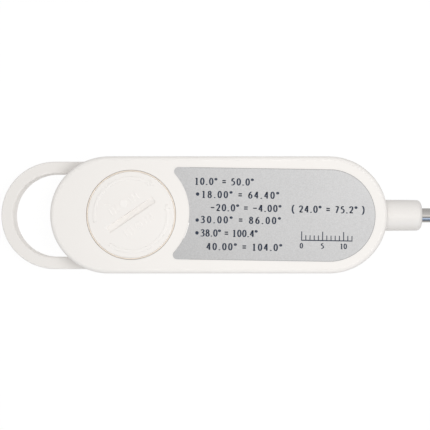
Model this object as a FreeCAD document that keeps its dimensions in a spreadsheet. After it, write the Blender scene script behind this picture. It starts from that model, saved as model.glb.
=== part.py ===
"""Digital stem thermometer with a moulded hanging loop.

A flat, stadium-shaped handle of two moulded shells holds a liquid crystal display, four
push keys, a circuit board and one button cell under a coin-turned bayonet cover. A collar
moulded round the steel probe is trapped between the shells.

Frame: the handle lies on its display face, which is the plane Z = 0 and has the origin at
its centre. +X runs along the probe to its tip and +Z goes up through the back, where the
battery cover and the back label are. Lengths are in millimetres and angles in degrees.
"""
import FreeCAD, Part
import math
import os

import Sketcher

DRIVING_SIZES = [
    # handle shells
    ("housing_length", 80.7), ("housing_width", 28), ("parting_height", 7), ("wall", 1.6),
    ("front_edge_radius", 2), ("back_edge_radius", 1), ("seam_radius", 0.12), ("lip_height", 0.8),
    ("lip_thickness", 0.7), ("joint_clearance", 0.1), ("hair_gap", 0.02),
    # hanging loop, moulded with the front shell
    ("loop_reach", 12.88), ("loop_width", 26.3), ("loop_band", 2.95), ("loop_lift", 0.8),
    ("loop_drop", 0.3), ("loop_edge_radius", 0.35), ("loop_root", 2),
    # fastening of the shells and the board
    ("boss_radius", 2.1), ("boss_inset", 6), ("boss_gap", 0.5), ("back_boss_radius", 3.1),
    ("board_standoff", 3.6), ("board_thickness", 1), ("board_margin", 3),
    ("board_end_gap", 3.6), ("pilot_radius", 0.8), ("pilot_depth", 3),
    ("screw_radius", 1), ("screw_clearance", 0.15), ("screw_length", 9.5),
    ("screw_head_radius", 1.9), ("screw_head_height", 1.3), ("screw_tip", 1.2),
    ("screw_point_radius", 0.33),
    ("hook_width", 6), ("hook_thickness", 1), ("hook_barb", 0.75), ("hook_gap", 0.15),
    ("hook_bridge_height", 1.5), ("hook_bridge_inset", 1.2),
    # battery well and bayonet cover
    ("battery_setback", 19.4), ("cell_radius", 5.8), ("cell_height", 5.4),
    ("cell_crimp", 0.6), ("cell_chamfer", 0.2),
    ("cell_clearance", 0.2), ("cell_play", 0.05), ("contact_rise", 0.5),
    ("well_wall", 1.2), ("skirt_gap", 0.4), ("skirt_thickness", 0.9), ("lug_reach", 1.35),
    ("lug_inset", 0.87), ("lug_height", 0.9), ("lug_gap", 0.1), ("lug_angle", 24),
    ("lug_side_gap", 2), ("cover_turn", 60), ("ledge_thickness", 1.2),
    ("lug_floor_gap", 0.5), ("cup_floor", 0.9), ("cup_wall", 1.3), ("bore_gap", 0.15),
    ("cover_gap", 0.35), ("cover_sink", 0.1), ("cover_thickness", 1.75), ("cover_rim", 1.08),
    ("cover_edge_radius", 0.2), ("seal_section", 1.1), ("seal_gap", 0.1), ("seal_drop", 0.12),
    ("coin_slot_length", 13.1), ("coin_slot_width", 1.62), ("coin_slot_depth", 1.05),
    ("coin_slot_end", 0.35), ("coin_slot_angle", 34), ("contact_strip", 0.2), ("contact_width", 3),
    ("contact_slot_width", 3.6), ("contact_peak", 0.5), ("contact_tip_rise", 1.35),
    ("contact_root_gap", 0.72),
    # back label, stuck on by hand a little askew
    ("label_margin", 3), ("label_gap", 3.2), ("label_corner", 1.05),
    ("label_thickness", 0.15), ("label_turn", 0.9),
    # display
    ("window_thickness", 0.9), ("window_recess", 0.1), ("window_length", 26),
    ("window_width", 14.5), ("window_fit", 0.15), ("window_corner", 1.5),
    ("window_border", 2), ("tape_thickness", 0.1), ("display_width", 17),
    ("frame_wall", 0.8), ("frame_gap", 0.05), ("glass_thickness", 0.9),
    ("glass_gap", 0.15), ("glass_ledge", 2.2), ("film_thickness", 0.15),
    ("film_inset", 0.4), ("strip_width", 1.6), ("pad_inset", 2),
    # push keys and their switches
    ("key_ring_radius", 6.2), ("key_radius", 2.7), ("key_gap", 0.15), ("key_recess", 0.15),
    ("key_flange", 0.6), ("key_flange_height", 0.55), ("key_flange_gap", 0.05),
    ("key_stem_radius", 1.1), ("key_edge_radius", 0.3), ("key_travel", 0.25),
    ("switch_side", 5.2), ("switch_height", 1.2), ("switch_plate", 0.15),
    ("plunger_radius", 1), ("plunger_height", 0.5), ("plunger_gap", 0.05),
    # parts on the board
    ("chip_radius", 4.5), ("chip_height", 1.3), ("crystal_radius", 1),
    ("crystal_length", 6), ("chip_part_length", 2), ("chip_part_width", 1.25),
    ("resistor_height", 0.5), ("capacitor_height", 0.8), ("chip_part_pitch", 2.6),
    ("chip_row_inset", 4.25), ("chip_row_gap", 2.5),
    # probe and its collar
    ("probe_radius", 1.75), ("probe_wall", 0.3), ("probe_length", 140),
    ("probe_point", 9), ("probe_tip_radius", 0.35), ("probe_tail", 1.6),
    ("swage_depth", 0.25),
    ("collar_radius", 3.8), ("collar_draft", 0.06), ("collar_reach", 9),
    ("collar_edge_radius", 1.2), ("collar_clearance", 0.05), ("flange_radius", 5),
    ("flange_thickness", 1.5), ("flange_setback", 2.8), ("saddle_thickness", 1.2),
    ("saddle_half_width", 5.5), ("saddle_clearance", 0.1), ("sensor_radius", 0.8),
    ("sensor_length", 3), ("sensor_setback", 13), ("potting_length", 9),
    ("wire_radius", 0.3), ("wire_spacing", 1.1), ("wire_bend_radius", 2.5),
    ("wire_pad_inset", 4.2), ("wire_pad_spacing", 3),
]

doc = FreeCAD.newDocument("stem_thermometer")
sheet = doc.addObject("Spreadsheet::Sheet", "dims")
COINCIDENT = 1e-5


class Size:
    """A length or an angle: its present value and the sheet expression that gives it."""

    def __init__(self, text, value):
        self.text = text
        self.value = value

    def joined(self, sign, other, value):
        return Size("(%s %s %s)" % (self.text, sign, as_text(other)), value)

    def __add__(self, other):
        return self.joined("+", other, self.value + as_number(other))

    def __sub__(self, other):
        return self.joined("-", other, self.value - as_number(other))

    def __mul__(self, other):
        return self.joined("*", other, self.value * as_number(other))

    def __truediv__(self, other):
        return self.joined("/", other, self.value / as_number(other))

    def __radd__(self, other):
        return Size(as_text(other), other) + self

    def __rsub__(self, other):
        return Size(as_text(other), other) - self

    def __rmul__(self, other):
        return Size(as_text(other), other) * self

    def __neg__(self):
        return 0 - self

    def root(self):
        return Size("sqrt(%s)" % self.text, math.sqrt(self.value))

    def cosine(self):
        return Size("cos(%s)" % self.text, math.cos(math.radians(self.value)))

    def sine(self):
        return Size("sin(%s)" % self.text, math.sin(math.radians(self.value)))


def as_text(size):
    return size.text if isinstance(size, Size) else repr(size)


def as_number(size):
    return size.value if isinstance(size, Size) else size


def fill_sheet():
    """Writes the driving sizes into the sheet and returns them by name."""
    sizes = {}
    for row, (alias, value) in enumerate(DRIVING_SIZES, start=1):
        sheet.set("A%d" % row, alias)
        sheet.set("B%d" % row, str(value))
        sheet.setAlias("B%d" % row, alias)
        sizes[alias] = Size("dims." + alias, value)
    doc.recompute()
    return sizes


D = fill_sheet()
ZERO = Size("0", 0)
THIRD_TURN = Size("120", 120)
RESISTORS, CAPACITORS = 4, 3

# Plan of the handle, along X
HALF_LENGTH = D["housing_length"] / 2
END_RADIUS = D["housing_width"] / 2
END_X = HALF_LENGTH - END_RADIUS
INNER_RADIUS = END_RADIUS - D["wall"]
BATTERY_X = D["battery_setback"] - HALF_LENGTH

# Levels, from the display face at Z = 0 to the back
BOARD_FRONT = D["wall"] + D["board_standoff"]
BOARD_BACK = BOARD_FRONT + D["board_thickness"]
CELL_BOTTOM = BOARD_BACK + D["contact_rise"]
CELL_TOP = CELL_BOTTOM + D["cell_height"]
COVER_INSIDE = CELL_TOP + D["cell_play"]
COVER_FACE = COVER_INSIDE + D["cover_thickness"]
BACK_FACE = COVER_FACE + D["cover_sink"]
BACK_INSIDE = BACK_FACE - D["wall"]
COVER_RIM_BOTTOM = COVER_FACE - D["cover_rim"]
LEDGE_TOP = COVER_RIM_BOTTOM - D["seal_section"] - D["seal_gap"]
LEDGE_BOTTOM = LEDGE_TOP - D["ledge_thickness"]
LUG_TOP = LEDGE_BOTTOM - D["lug_gap"]
LUG_BOTTOM = LUG_TOP - D["lug_height"]
CUP_FLOOR_TOP = LUG_BOTTOM - D["lug_floor_gap"]
CUP_FLOOR_BOTTOM = CUP_FLOOR_TOP - D["cup_floor"]
SCREW_SEAT = BACK_FACE - D["screw_head_height"] - D["joint_clearance"]

WELL_TOP = CELL_TOP - D["cell_clearance"]
WINDOW_BACK = D["window_recess"] + D["window_thickness"]
SWITCH_FACE = BOARD_FRONT - D["switch_height"]
KEY_STEM_TOP = SWITCH_FACE - D["plunger_height"]

# Radii about the battery axis, from the cell outwards
WELL_BORE = D["cell_radius"] + D["cell_clearance"]
WELL_OUTER = WELL_BORE + D["well_wall"]
SKIRT_BORE = WELL_OUTER + D["skirt_gap"]
SKIRT_OUTER = SKIRT_BORE + D["skirt_thickness"]
LEDGE_BORE = SKIRT_OUTER + D["bore_gap"]
LUG_OUTER = SKIRT_OUTER + D["lug_reach"]
NOTCH_RADIUS = LUG_OUTER + D["bore_gap"]
RECESS_RADIUS = LUG_OUTER + D["lug_inset"]
COVER_RADIUS = RECESS_RADIUS - D["cover_gap"]
PLUG_RADIUS = RECESS_RADIUS - D["seal_gap"] * 2 - D["seal_section"]
CUP_RADIUS = RECESS_RADIUS + D["cup_wall"]

# Screw bosses, and the display between them
BOSS_LEFT_X = BATTERY_X + CUP_RADIUS + D["back_boss_radius"] + D["boss_gap"] * 2
BOSS_RIGHT_X = END_X + D["boss_gap"]
BOSS_Y = END_RADIUS - D["boss_inset"]
DISPLAY_X = (BOSS_LEFT_X + BOSS_RIGHT_X) / 2
DISPLAY_HALF = (BOSS_RIGHT_X - BOSS_LEFT_X) / 2 - D["boss_radius"] - D["boss_gap"]
DISPLAY_HALF_WIDTH = D["display_width"] / 2

# Probe and collar, along X
COLLAR_END = HALF_LENGTH + D["collar_reach"]
PROBE_TIP = COLLAR_END + D["probe_length"]
POINT_START = PROBE_TIP - D["probe_point"]
FLANGE_END = HALF_LENGTH - D["flange_setback"]
FLANGE_START = FLANGE_END - D["flange_thickness"]
PROBE_START = FLANGE_START - D["probe_tail"]
PROBE_ROOT = D["probe_radius"] - D["swage_depth"]
BOARD_END_X = END_X - D["board_end_gap"]
BOARD_RADIUS = END_RADIUS - D["board_margin"]
HOOK_HALF = D["hook_width"] / 2
HOOK_REACH = (INNER_RADIUS * INNER_RADIUS - HOOK_HALF * HOOK_HALF).root()
HOOK_X = D["hook_gap"] - END_X - HOOK_REACH


# ---------------------------------------------------------------- drawing helpers


def bind(thing, path, size):
    """Ties a property, or a place in a placement, to the sheet."""
    thing.setExpression(path, as_text(size))


def new_body(label):
    body = doc.addObject("PartDesign::Body", label)
    body.Label = label
    return body


def new_sketch(body, name, plane="XY_Plane", x=0, y=0, z=0):
    """A sketch on one of the body's own origin planes, moved by x, y and z in its own axes."""
    sketch = body.newObject("Sketcher::SketchObject", name)
    support = [f for f in body.Origin.OriginFeatures if f.Role == plane][0]
    sketch.AttachmentSupport = (support, [""])
    sketch.MapMode = "FlatFace"
    for axis, size in (("x", x), ("y", y), ("z", z)):
        bind(sketch, "AttachmentOffset.Base." + axis, size)
    return sketch


def measure(sketch, kind, where, size):
    """Adds one dimension to a sketch and ties it to the sheet."""
    index = sketch.addConstraint(Sketcher.Constraint(kind, *where, as_number(size)))
    bind(sketch, "Constraints[%d]" % index, size)


def pin(sketch, curve, end, x, y):
    """Fixes one end of a curve at x, y from the sketch's origin."""
    measure(sketch, "DistanceX", (-1, 1, curve, end), x)
    measure(sketch, "DistanceY", (-1, 1, curve, end), y)


def point(x, y):
    return FreeCAD.Vector(as_number(x), as_number(y), 0)


def add_circle(sketch, x, y, radius):
    shape = Part.Circle(point(x, y), FreeCAD.Vector(0, 0, 1), as_number(radius))
    curve = sketch.addGeometry(shape, False)
    measure(sketch, "Radius", (curve,), radius)
    pin(sketch, curve, 3, x, y)


def add_outline(sketch, start, steps):
    """A closed outline that leaves start and comes back to it.

    A step is (x, y) for a straight line, or (x, y, centre_x, centre_y, turn) for an arc,
    where turn is 1 for anticlockwise and -1 for clockwise.
    """
    here = start
    chain = []
    for step in steps:
        there = step[:2]
        if len(step) == 2:
            shape = Part.LineSegment(point(*here), point(*there))
            curve = sketch.addGeometry(shape, False)
            first, last = 1, 2
        else:
            centre_x, centre_y, turn = step[2:]
            centre = point(centre_x, centre_y)
            from_here = point(*here) - centre
            to_there = point(*there) - centre
            angles = [math.atan2(from_here.y, from_here.x), math.atan2(to_there.y, to_there.x)]
            if turn < 0:
                angles.reverse()
            circle = Part.Circle(centre, FreeCAD.Vector(0, 0, 1), from_here.Length)
            curve = sketch.addGeometry(Part.ArcOfCircle(circle, angles[0], angles[1]), False)
            first, last = (1, 2) if turn > 0 else (2, 1)
        chain.append((curve, first, last, step, here))
        here = there
    for index, (curve, first, last, step, _) in enumerate(chain):
        following, following_first = chain[(index + 1) % len(chain)][:2]
        joint = Sketcher.Constraint("Coincident", curve, last, following, following_first)
        sketch.addConstraint(joint)
        pin(sketch, curve, last, step[0], step[1])
    for curve, _, _, step, begun in chain:
        if len(step) == 5:
            across = abs(as_number(step[0]) - as_number(begun[0]))
            along = abs(as_number(step[1]) - as_number(begun[1]))
            if along > across:
                measure(sketch, "DistanceX", (-1, 1, curve, 3), step[2])
            else:
                measure(sketch, "DistanceY", (-1, 1, curve, 3), step[3])


def add_polygon(sketch, corners):
    add_outline(sketch, corners[0], corners[1:] + corners[:1])


def add_rectangle(sketch, x0, x1, y0, y1):
    add_polygon(sketch, [(x0, y0), (x1, y0), (x1, y1), (x0, y1)])


def add_rounded_rectangle(sketch, x0, x1, y0, y1, radius):
    left, right, low, high = x0 + radius, x1 - radius, y0 + radius, y1 - radius
    add_outline(sketch, (left, y0), [
        (right, y0), (x1, low, right, low, 1),
        (x1, high), (right, y1, right, high, 1),
        (left, y1), (x0, high, left, high, 1),
        (x0, low), (left, y0, left, low, 1),
    ])


def add_stadium(sketch, left_x, right_x, radius):
    """Two half circles, centred on the X axis, joined by straight lines."""
    add_outline(sketch, (left_x, -radius), [
        (right_x, -radius), (right_x, radius, right_x, 0, 1),
        (left_x, radius), (left_x, -radius, left_x, 0, 1),
    ])


def polar(radius, angle):
    return radius * angle.cosine(), radius * angle.sine()


def add_sector(sketch, inner, outer, middle, width):
    """A piece of a ring about the sketch's origin."""
    first, last = middle - width / 2, middle + width / 2
    add_outline(sketch, polar(inner, first), [
        polar(outer, first), polar(outer, last) + (0, 0, 1),
        polar(inner, last), polar(inner, first) + (0, 0, -1),
    ])


def add_feature(body, kind, sketch, length=None, turned=False, axis=None):
    """Pads, pockets, revolves or grooves a sketch, and checks that it changed the body."""
    before = body.Tip.Shape.Volume if body.Tip else 0
    feature = body.newObject("PartDesign::" + kind, sketch.Name + "_" + kind.lower())
    feature.Profile = sketch
    if length is not None:
        bind(feature, "Length", length)
    if axis is not None:
        feature.ReferenceAxis = (sketch, [axis])
    feature.Reversed = turned
    sketch.Visibility = False
    doc.recompute()
    change = feature.Shape.Volume - before
    grows = kind in ("Pad", "Revolution")
    if change == 0 or (change > 0) != grows:
        raise RuntimeError("%s in %s changed the volume by %g" % (sketch.Name, body.Label, change))
    return feature


def pad(body, sketch, length, turned=False):
    return add_feature(body, "Pad", sketch, length=length, turned=turned)


def pocket(body, sketch, length, turned=False):
    return add_feature(body, "Pocket", sketch, length=length, turned=turned)


def revolve(body, sketch, axis="V_Axis"):
    return add_feature(body, "Revolution", sketch, axis=axis)


def groove(body, sketch, axis="V_Axis"):
    return add_feature(body, "Groove", sketch, axis=axis)


def round_edges(body, name, radius, chosen):
    """Fillets the edges of the body for which chosen(edge) is true."""
    base = body.Tip
    names = ["Edge%d" % (i + 1) for i, e in enumerate(base.Shape.Edges) if chosen(e)]
    fillet = body.newObject("PartDesign::Fillet", name)
    fillet.Base = (base, names)
    bind(fillet, "Radius", radius)
    doc.recompute()
    return fillet


def at_height(height):
    """Chooses the edges that lie flat at one height."""
    level = as_number(height)
    return lambda edge: abs(edge.BoundBox.ZMin - level) < COINCIDENT and (
        abs(edge.BoundBox.ZMax - level) < COINCIDENT)


def rounded_block(label, x0, x1, y0, y1, z0, z1, radius):
    """A plate with rounded corners in plan."""
    body = new_body(label)
    plan = new_sketch(body, label + "_plan", z=z0)
    add_rounded_rectangle(plan, x0, x1, y0, y1, radius)
    pad(body, plan, z1 - z0)
    return body


def block(label, x0, x1, y0, y1, z0, z1):
    box = doc.addObject("Part::Box", label)
    box.Label = label
    bind(box, "Length", x1 - x0)
    bind(box, "Width", y1 - y0)
    bind(box, "Height", z1 - z0)
    place(box, x0, y0, z0)
    return box


def place(thing, x, y, z):
    for axis, size in (("x", x), ("y", y), ("z", z)):
        bind(thing, "Placement.Base." + axis, size)


def round_bar(label, radius, x, y, z0, z1):
    bar = doc.addObject("Part::Cylinder", label)
    bind(bar, "Radius", radius)
    bind(bar, "Height", z1 - z0)
    place(bar, x, y, z0)
    return bar


def join(label, pieces):
    """One solid made of several that touch."""
    fused = doc.addObject("Part::MultiFuse", label)
    fused.Shapes = pieces
    fused.Label = label
    return fused


def cut(label, base, tool):
    result = doc.addObject("Part::Cut", label)
    result.Base = base
    result.Tool = tool
    result.Label = label
    return result


def group(label, pieces):
    """Identical pieces that share one node and stay separate solids."""
    compound = doc.addObject("Part::Compound", label)
    compound.Links = pieces
    compound.Label = label
    return compound


def boss_places():
    return [(x, side * BOSS_Y) for x in (BOSS_LEFT_X, BOSS_RIGHT_X) for side in (-1, 1)]


def key_places():
    """Name and centre of each key, on a ring about the battery axis."""
    ring = D["key_ring_radius"]
    return [
        ("power", BATTERY_X - ring, ZERO), ("hold", BATTERY_X, ring),
        ("memory", BATTERY_X, -ring), ("unit", BATTERY_X + ring, ZERO),
    ]


# ---------------------------------------------------------------- handle shells


def cut_probe_seat(body):
    """The stepped seat of the collar, its flange and the tail of the tube, round the probe."""
    neck = D["collar_radius"] + D["collar_clearance"]
    flange = D["flange_radius"] + D["joint_clearance"]
    tail = PROBE_ROOT + D["saddle_clearance"]
    outside = HALF_LENGTH + D["wall"]
    front = FLANGE_END + D["joint_clearance"]
    back = FLANGE_START - D["joint_clearance"]
    inside = PROBE_START - D["wall"]
    seat = new_sketch(body, body.Label + "_probe_seat", plane="XZ_Plane", y=D["parting_height"])
    add_polygon(seat, [
        (inside, 0), (outside, 0), (outside, neck), (front, neck),
        (front, flange), (back, flange), (back, tail), (inside, tail),
    ])
    groove(body, seat, axis="H_Axis")


def add_saddle(body, z0, z1):
    """The rib that stands behind the collar's flange and carries the tail of the tube."""
    end = FLANGE_START - D["joint_clearance"]
    rib = new_sketch(body, body.Label + "_saddle", z=z0)
    half = D["saddle_half_width"]
    add_rectangle(rib, end - D["saddle_thickness"], end, -half, half)
    pad(body, rib, z1 - z0)


def build_front_shell():
    """The display side of the handle, with the hanging loop moulded on."""
    body = new_body("front_shell")
    outline = new_sketch(body, "front_outline")
    add_stadium(outline, -END_X, END_X, END_RADIUS)
    pad(body, outline, D["parting_height"])
    round_edges(body, "front_face_edge", D["front_edge_radius"], at_height(0))
    round_edges(body, "front_seam", D["seam_radius"], at_height(D["parting_height"]))

    loop_radius = D["loop_width"] / 2
    loop_x = loop_radius - HALF_LENGTH - D["loop_reach"]
    loop_top = D["parting_height"] - D["loop_drop"]
    root_x = -END_X - D["loop_root"]
    loop = new_sketch(body, "hanging_loop", z=D["loop_lift"])
    add_stadium(loop, loop_x, root_x, loop_radius)
    add_stadium(loop, loop_x, root_x, loop_radius - D["loop_band"])
    pad(body, loop, loop_top - D["loop_lift"])
    levels = [at_height(D["loop_lift"]), at_height(loop_top)]
    outside = as_number(-HALF_LENGTH) + as_number(D["wall"])
    round_edges(body, "loop_edges", D["loop_edge_radius"],
                lambda e: e.BoundBox.XMin < outside and any(level(e) for level in levels))

    cavity = new_sketch(body, "front_cavity", z=D["parting_height"])
    add_stadium(cavity, -END_X, END_X, INNER_RADIUS)
    pocket(body, cavity, D["parting_height"] - D["wall"])

    lip = new_sketch(body, "front_lip", z=D["parting_height"])
    add_stadium(lip, -END_X, END_X, INNER_RADIUS + D["lip_thickness"])
    add_stadium(lip, -END_X, END_X, INNER_RADIUS)
    pad(body, lip, D["lip_height"])

    bosses = new_sketch(body, "front_bosses", z=D["wall"])
    for x, y in boss_places():
        add_circle(bosses, x, y, D["boss_radius"])
    pad(body, bosses, D["board_standoff"])
    pilots = new_sketch(body, "pilot_holes", z=BOARD_FRONT)
    for x, y in boss_places():
        add_circle(pilots, x, y, D["pilot_radius"])
    pocket(body, pilots, D["pilot_depth"])

    bridge = new_sketch(body, "hook_bridge", z=D["parting_height"] - D["hook_bridge_height"])
    bridge_left = D["hook_bridge_inset"] - HALF_LENGTH
    bridge_right = HOOK_X + D["hook_barb"] - D["hook_gap"]
    half = HOOK_HALF + D["wall"] / 2
    add_rectangle(bridge, bridge_left, bridge_right, -half, half)
    pad(body, bridge, D["hook_bridge_height"])

    add_saddle(body, D["wall"], D["parting_height"])
    cut_probe_seat(body)

    seat = new_sketch(body, "window_seat")
    half_length = D["window_length"] / 2
    half_width = D["window_width"] / 2
    add_rounded_rectangle(seat, DISPLAY_X - half_length, DISPLAY_X + half_length,
                          -half_width, half_width, D["window_corner"])
    pocket(body, seat, WINDOW_BACK + D["tape_thickness"], turned=True)
    opening = new_sketch(body, "window_opening")
    border = D["window_border"]
    add_rounded_rectangle(opening, DISPLAY_X - half_length + border,
                          DISPLAY_X + half_length - border, border - half_width,
                          half_width - border, D["window_corner"] / 2)
    pocket(body, opening, D["wall"], turned=True)

    holes = new_sketch(body, "key_holes")
    for _, x, y in key_places():
        add_circle(holes, x, y, D["key_radius"] + D["key_gap"])
    pocket(body, holes, D["wall"], turned=True)
    return body


def build_back_shell():
    """The label side of the handle, with the battery cup moulded in."""
    body = new_body("back_shell")
    depth = BACK_FACE - D["parting_height"]
    outline = new_sketch(body, "back_outline", z=D["parting_height"])
    add_stadium(outline, -END_X, END_X, END_RADIUS)
    pad(body, outline, depth)
    round_edges(body, "back_face_edge", D["back_edge_radius"], at_height(BACK_FACE))
    round_edges(body, "back_seam", D["seam_radius"], at_height(D["parting_height"]))
    cavity = new_sketch(body, "back_cavity", z=D["parting_height"])
    add_stadium(cavity, -END_X, END_X, INNER_RADIUS)
    pocket(body, cavity, depth - D["wall"], turned=True)
    rebate = new_sketch(body, "back_rebate", z=D["parting_height"])
    add_stadium(rebate, -END_X, END_X,
                INNER_RADIUS + D["lip_thickness"] + D["joint_clearance"])
    pocket(body, rebate, D["lip_height"] + D["joint_clearance"], turned=True)

    bosses = new_sketch(body, "back_bosses", z=BOARD_BACK + D["joint_clearance"] / 2)
    for x, y in boss_places():
        add_circle(bosses, x, y, D["back_boss_radius"])
    pad(body, bosses, BACK_INSIDE - BOARD_BACK)

    cover_hole = new_sketch(body, "cover_hole", z=BACK_FACE)
    add_circle(cover_hole, BATTERY_X, 0, RECESS_RADIUS)
    pocket(body, cover_hole, D["wall"])
    cup = new_sketch(body, "battery_cup", plane="XZ_Plane", x=BATTERY_X)
    well_foot = BOARD_BACK + D["joint_clearance"]
    rim = BACK_INSIDE + D["wall"] / 2
    add_polygon(cup, [
        (WELL_BORE, well_foot), (WELL_OUTER, well_foot), (WELL_OUTER, CUP_FLOOR_BOTTOM),
        (CUP_RADIUS, CUP_FLOOR_BOTTOM), (CUP_RADIUS, rim), (RECESS_RADIUS, rim),
        (RECESS_RADIUS, LEDGE_TOP), (LEDGE_BORE, LEDGE_TOP), (LEDGE_BORE, LEDGE_BOTTOM),
        (RECESS_RADIUS, LEDGE_BOTTOM), (RECESS_RADIUS, CUP_FLOOR_TOP),
        (WELL_OUTER, CUP_FLOOR_TOP), (WELL_OUTER, WELL_TOP), (WELL_BORE, WELL_TOP),
    ])
    revolve(body, cup)
    notches = new_sketch(body, "lug_notches", x=BATTERY_X, z=LEDGE_TOP)
    notch_inner = LEDGE_BORE - D["bore_gap"]
    for index in range(3):
        add_sector(notches, notch_inner, NOTCH_RADIUS, THIRD_TURN * index,
                   D["lug_angle"] + D["lug_side_gap"] * 2)
    pocket(body, notches, D["ledge_thickness"])
    stops = new_sketch(body, "turn_stops", x=BATTERY_X, z=CUP_FLOOR_TOP)
    stop_middle = (THIRD_TURN - D["cover_turn"]) / 2
    stop_width = THIRD_TURN - D["cover_turn"] - D["lug_angle"] - D["lug_side_gap"]
    for index in range(3):
        add_sector(stops, LEDGE_BORE, RECESS_RADIUS + D["cup_wall"] / 2,
                   THIRD_TURN * index + stop_middle, stop_width)
    pad(body, stops, LEDGE_BOTTOM - CUP_FLOOR_TOP)
    contact_slot = new_sketch(body, "contact_slot", x=BATTERY_X, z=BOARD_BACK)
    half = D["contact_slot_width"] / 2
    add_rectangle(contact_slot, D["cell_radius"], WELL_OUTER + D["wall"], -half, half)
    pocket(body, contact_slot, CUP_FLOOR_BOTTOM - BOARD_BACK, turned=True)

    head_wells = new_sketch(body, "screw_head_wells", z=BACK_FACE)
    for x, y in boss_places():
        add_circle(head_wells, x, y, D["screw_head_radius"] + D["screw_clearance"])
    pocket(body, head_wells, BACK_FACE - SCREW_SEAT)
    screw_holes = new_sketch(body, "screw_holes", z=SCREW_SEAT)
    for x, y in boss_places():
        add_circle(screw_holes, x, y, D["screw_radius"] + D["screw_clearance"])
    pocket(body, screw_holes, SCREW_SEAT - BOARD_BACK)

    hook = new_sketch(body, "end_hook", plane="XZ_Plane", z=-HOOK_HALF)
    bridge_bottom = D["parting_height"] - D["hook_bridge_height"]
    barb_top = bridge_bottom - D["hook_gap"]
    barb_left = HOOK_X
    arm_left = HOOK_X + D["hook_barb"]
    arm_right = arm_left + D["hook_thickness"]
    add_polygon(hook, [
        (barb_left, barb_top), (arm_left, barb_top - D["hook_thickness"]),
        (arm_right, barb_top - D["hook_thickness"]), (arm_right, BACK_INSIDE + D["wall"] / 2),
        (arm_left, BACK_INSIDE + D["wall"] / 2), (arm_left, barb_top),
    ])
    pad(body, hook, D["hook_width"])

    add_saddle(body, D["parting_height"], BACK_INSIDE)
    cut_probe_seat(body)
    return body


# ---------------------------------------------------------------- battery and its cover


def build_battery_cover():
    """The coin-turned cover: a disc, a plug, a skirt and three bayonet lugs."""
    body = new_body("battery_cover")
    profile = new_sketch(body, "cover_profile", plane="XZ_Plane")
    add_polygon(profile, [
        (0, COVER_INSIDE), (SKIRT_BORE, COVER_INSIDE), (SKIRT_BORE, LUG_BOTTOM),
        (SKIRT_OUTER, LUG_BOTTOM), (SKIRT_OUTER, COVER_INSIDE), (PLUG_RADIUS, COVER_INSIDE),
        (PLUG_RADIUS, COVER_RIM_BOTTOM), (COVER_RADIUS, COVER_RIM_BOTTOM),
        (COVER_RADIUS, COVER_FACE), (0, COVER_FACE),
    ])
    revolve(body, profile)
    round_edges(body, "cover_edge", D["cover_edge_radius"], at_height(COVER_FACE))
    lugs = new_sketch(body, "bayonet_lugs", z=LUG_BOTTOM)
    skirt_middle = (SKIRT_BORE + SKIRT_OUTER) / 2
    for index in range(3):
        add_sector(lugs, skirt_middle, LUG_OUTER,
                   THIRD_TURN * index - D["cover_turn"] - D["coin_slot_angle"], D["lug_angle"])
    pad(body, lugs, D["lug_height"])

    slot = new_sketch(body, "coin_slot", plane="XZ_Plane", z=-D["coin_slot_width"] / 2)
    half = D["coin_slot_length"] / 2
    depth = D["coin_slot_depth"]
    sag = depth - D["coin_slot_end"]
    coin_radius = (half * half + sag * sag) / (sag * 2)
    floor = COVER_FACE - depth
    end_floor = floor + sag
    coin_centre = floor + coin_radius
    add_outline(slot, (-half, COVER_FACE), [
        (-half, end_floor), (0, floor, 0, coin_centre, 1),
        (half, end_floor, 0, coin_centre, 1), (half, COVER_FACE), (-half, COVER_FACE),
    ])
    pocket(body, slot, D["coin_slot_width"], turned=True)
    place(body, BATTERY_X, 0, 0)
    bind(body, "Placement.Rotation.Angle", D["coin_slot_angle"])
    return body


def build_cover_seal():
    """The ring under the cover's rim, with a thin lip that fills the gap round the cover."""
    body = new_body("cover_seal")
    profile = new_sketch(body, "seal_profile", plane="XZ_Plane", x=BATTERY_X)
    outer = RECESS_RADIUS - D["seal_gap"]
    inner = outer - D["seal_section"]
    lip = COVER_RADIUS + D["hair_gap"]
    low = LEDGE_TOP + D["seal_gap"] / 2
    high = low + D["seal_section"]
    tip = COVER_FACE - D["seal_drop"]
    add_polygon(profile, [
        (inner, low), (outer, low), (outer, tip), (lip, tip), (lip, high), (inner, high),
    ])
    revolve(body, profile)
    return body


def build_button_cell():
    """The cell, its cap towards the board and its can towards the cover."""
    body = new_body("button_cell")
    profile = new_sketch(body, "cell_profile", plane="XZ_Plane", x=BATTERY_X)
    crimp = D["cell_crimp"]
    chamfer = D["cell_chamfer"]
    can = D["cell_radius"]
    cap = can - crimp * 2
    add_polygon(profile, [
        (0, CELL_BOTTOM), (cap - chamfer, CELL_BOTTOM), (cap, CELL_BOTTOM + chamfer),
        (cap, CELL_BOTTOM + crimp), (can - chamfer, CELL_BOTTOM + chamfer * 2),
        (can, CELL_BOTTOM + crimp), (can, CELL_TOP - crimp / 2),
        (can - crimp / 2, CELL_TOP), (0, CELL_TOP),
    ])
    revolve(body, profile)
    return body


def build_contact(label, corners):
    """A bent strip, drawn from the side and as wide as a contact."""
    body = new_body(label)
    side = new_sketch(body, label + "_side", plane="XZ_Plane", x=BATTERY_X, y=BOARD_BACK,
                      z=-D["contact_width"] / 2)
    add_polygon(side, corners)
    pad(body, side, D["contact_width"])
    return body


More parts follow.
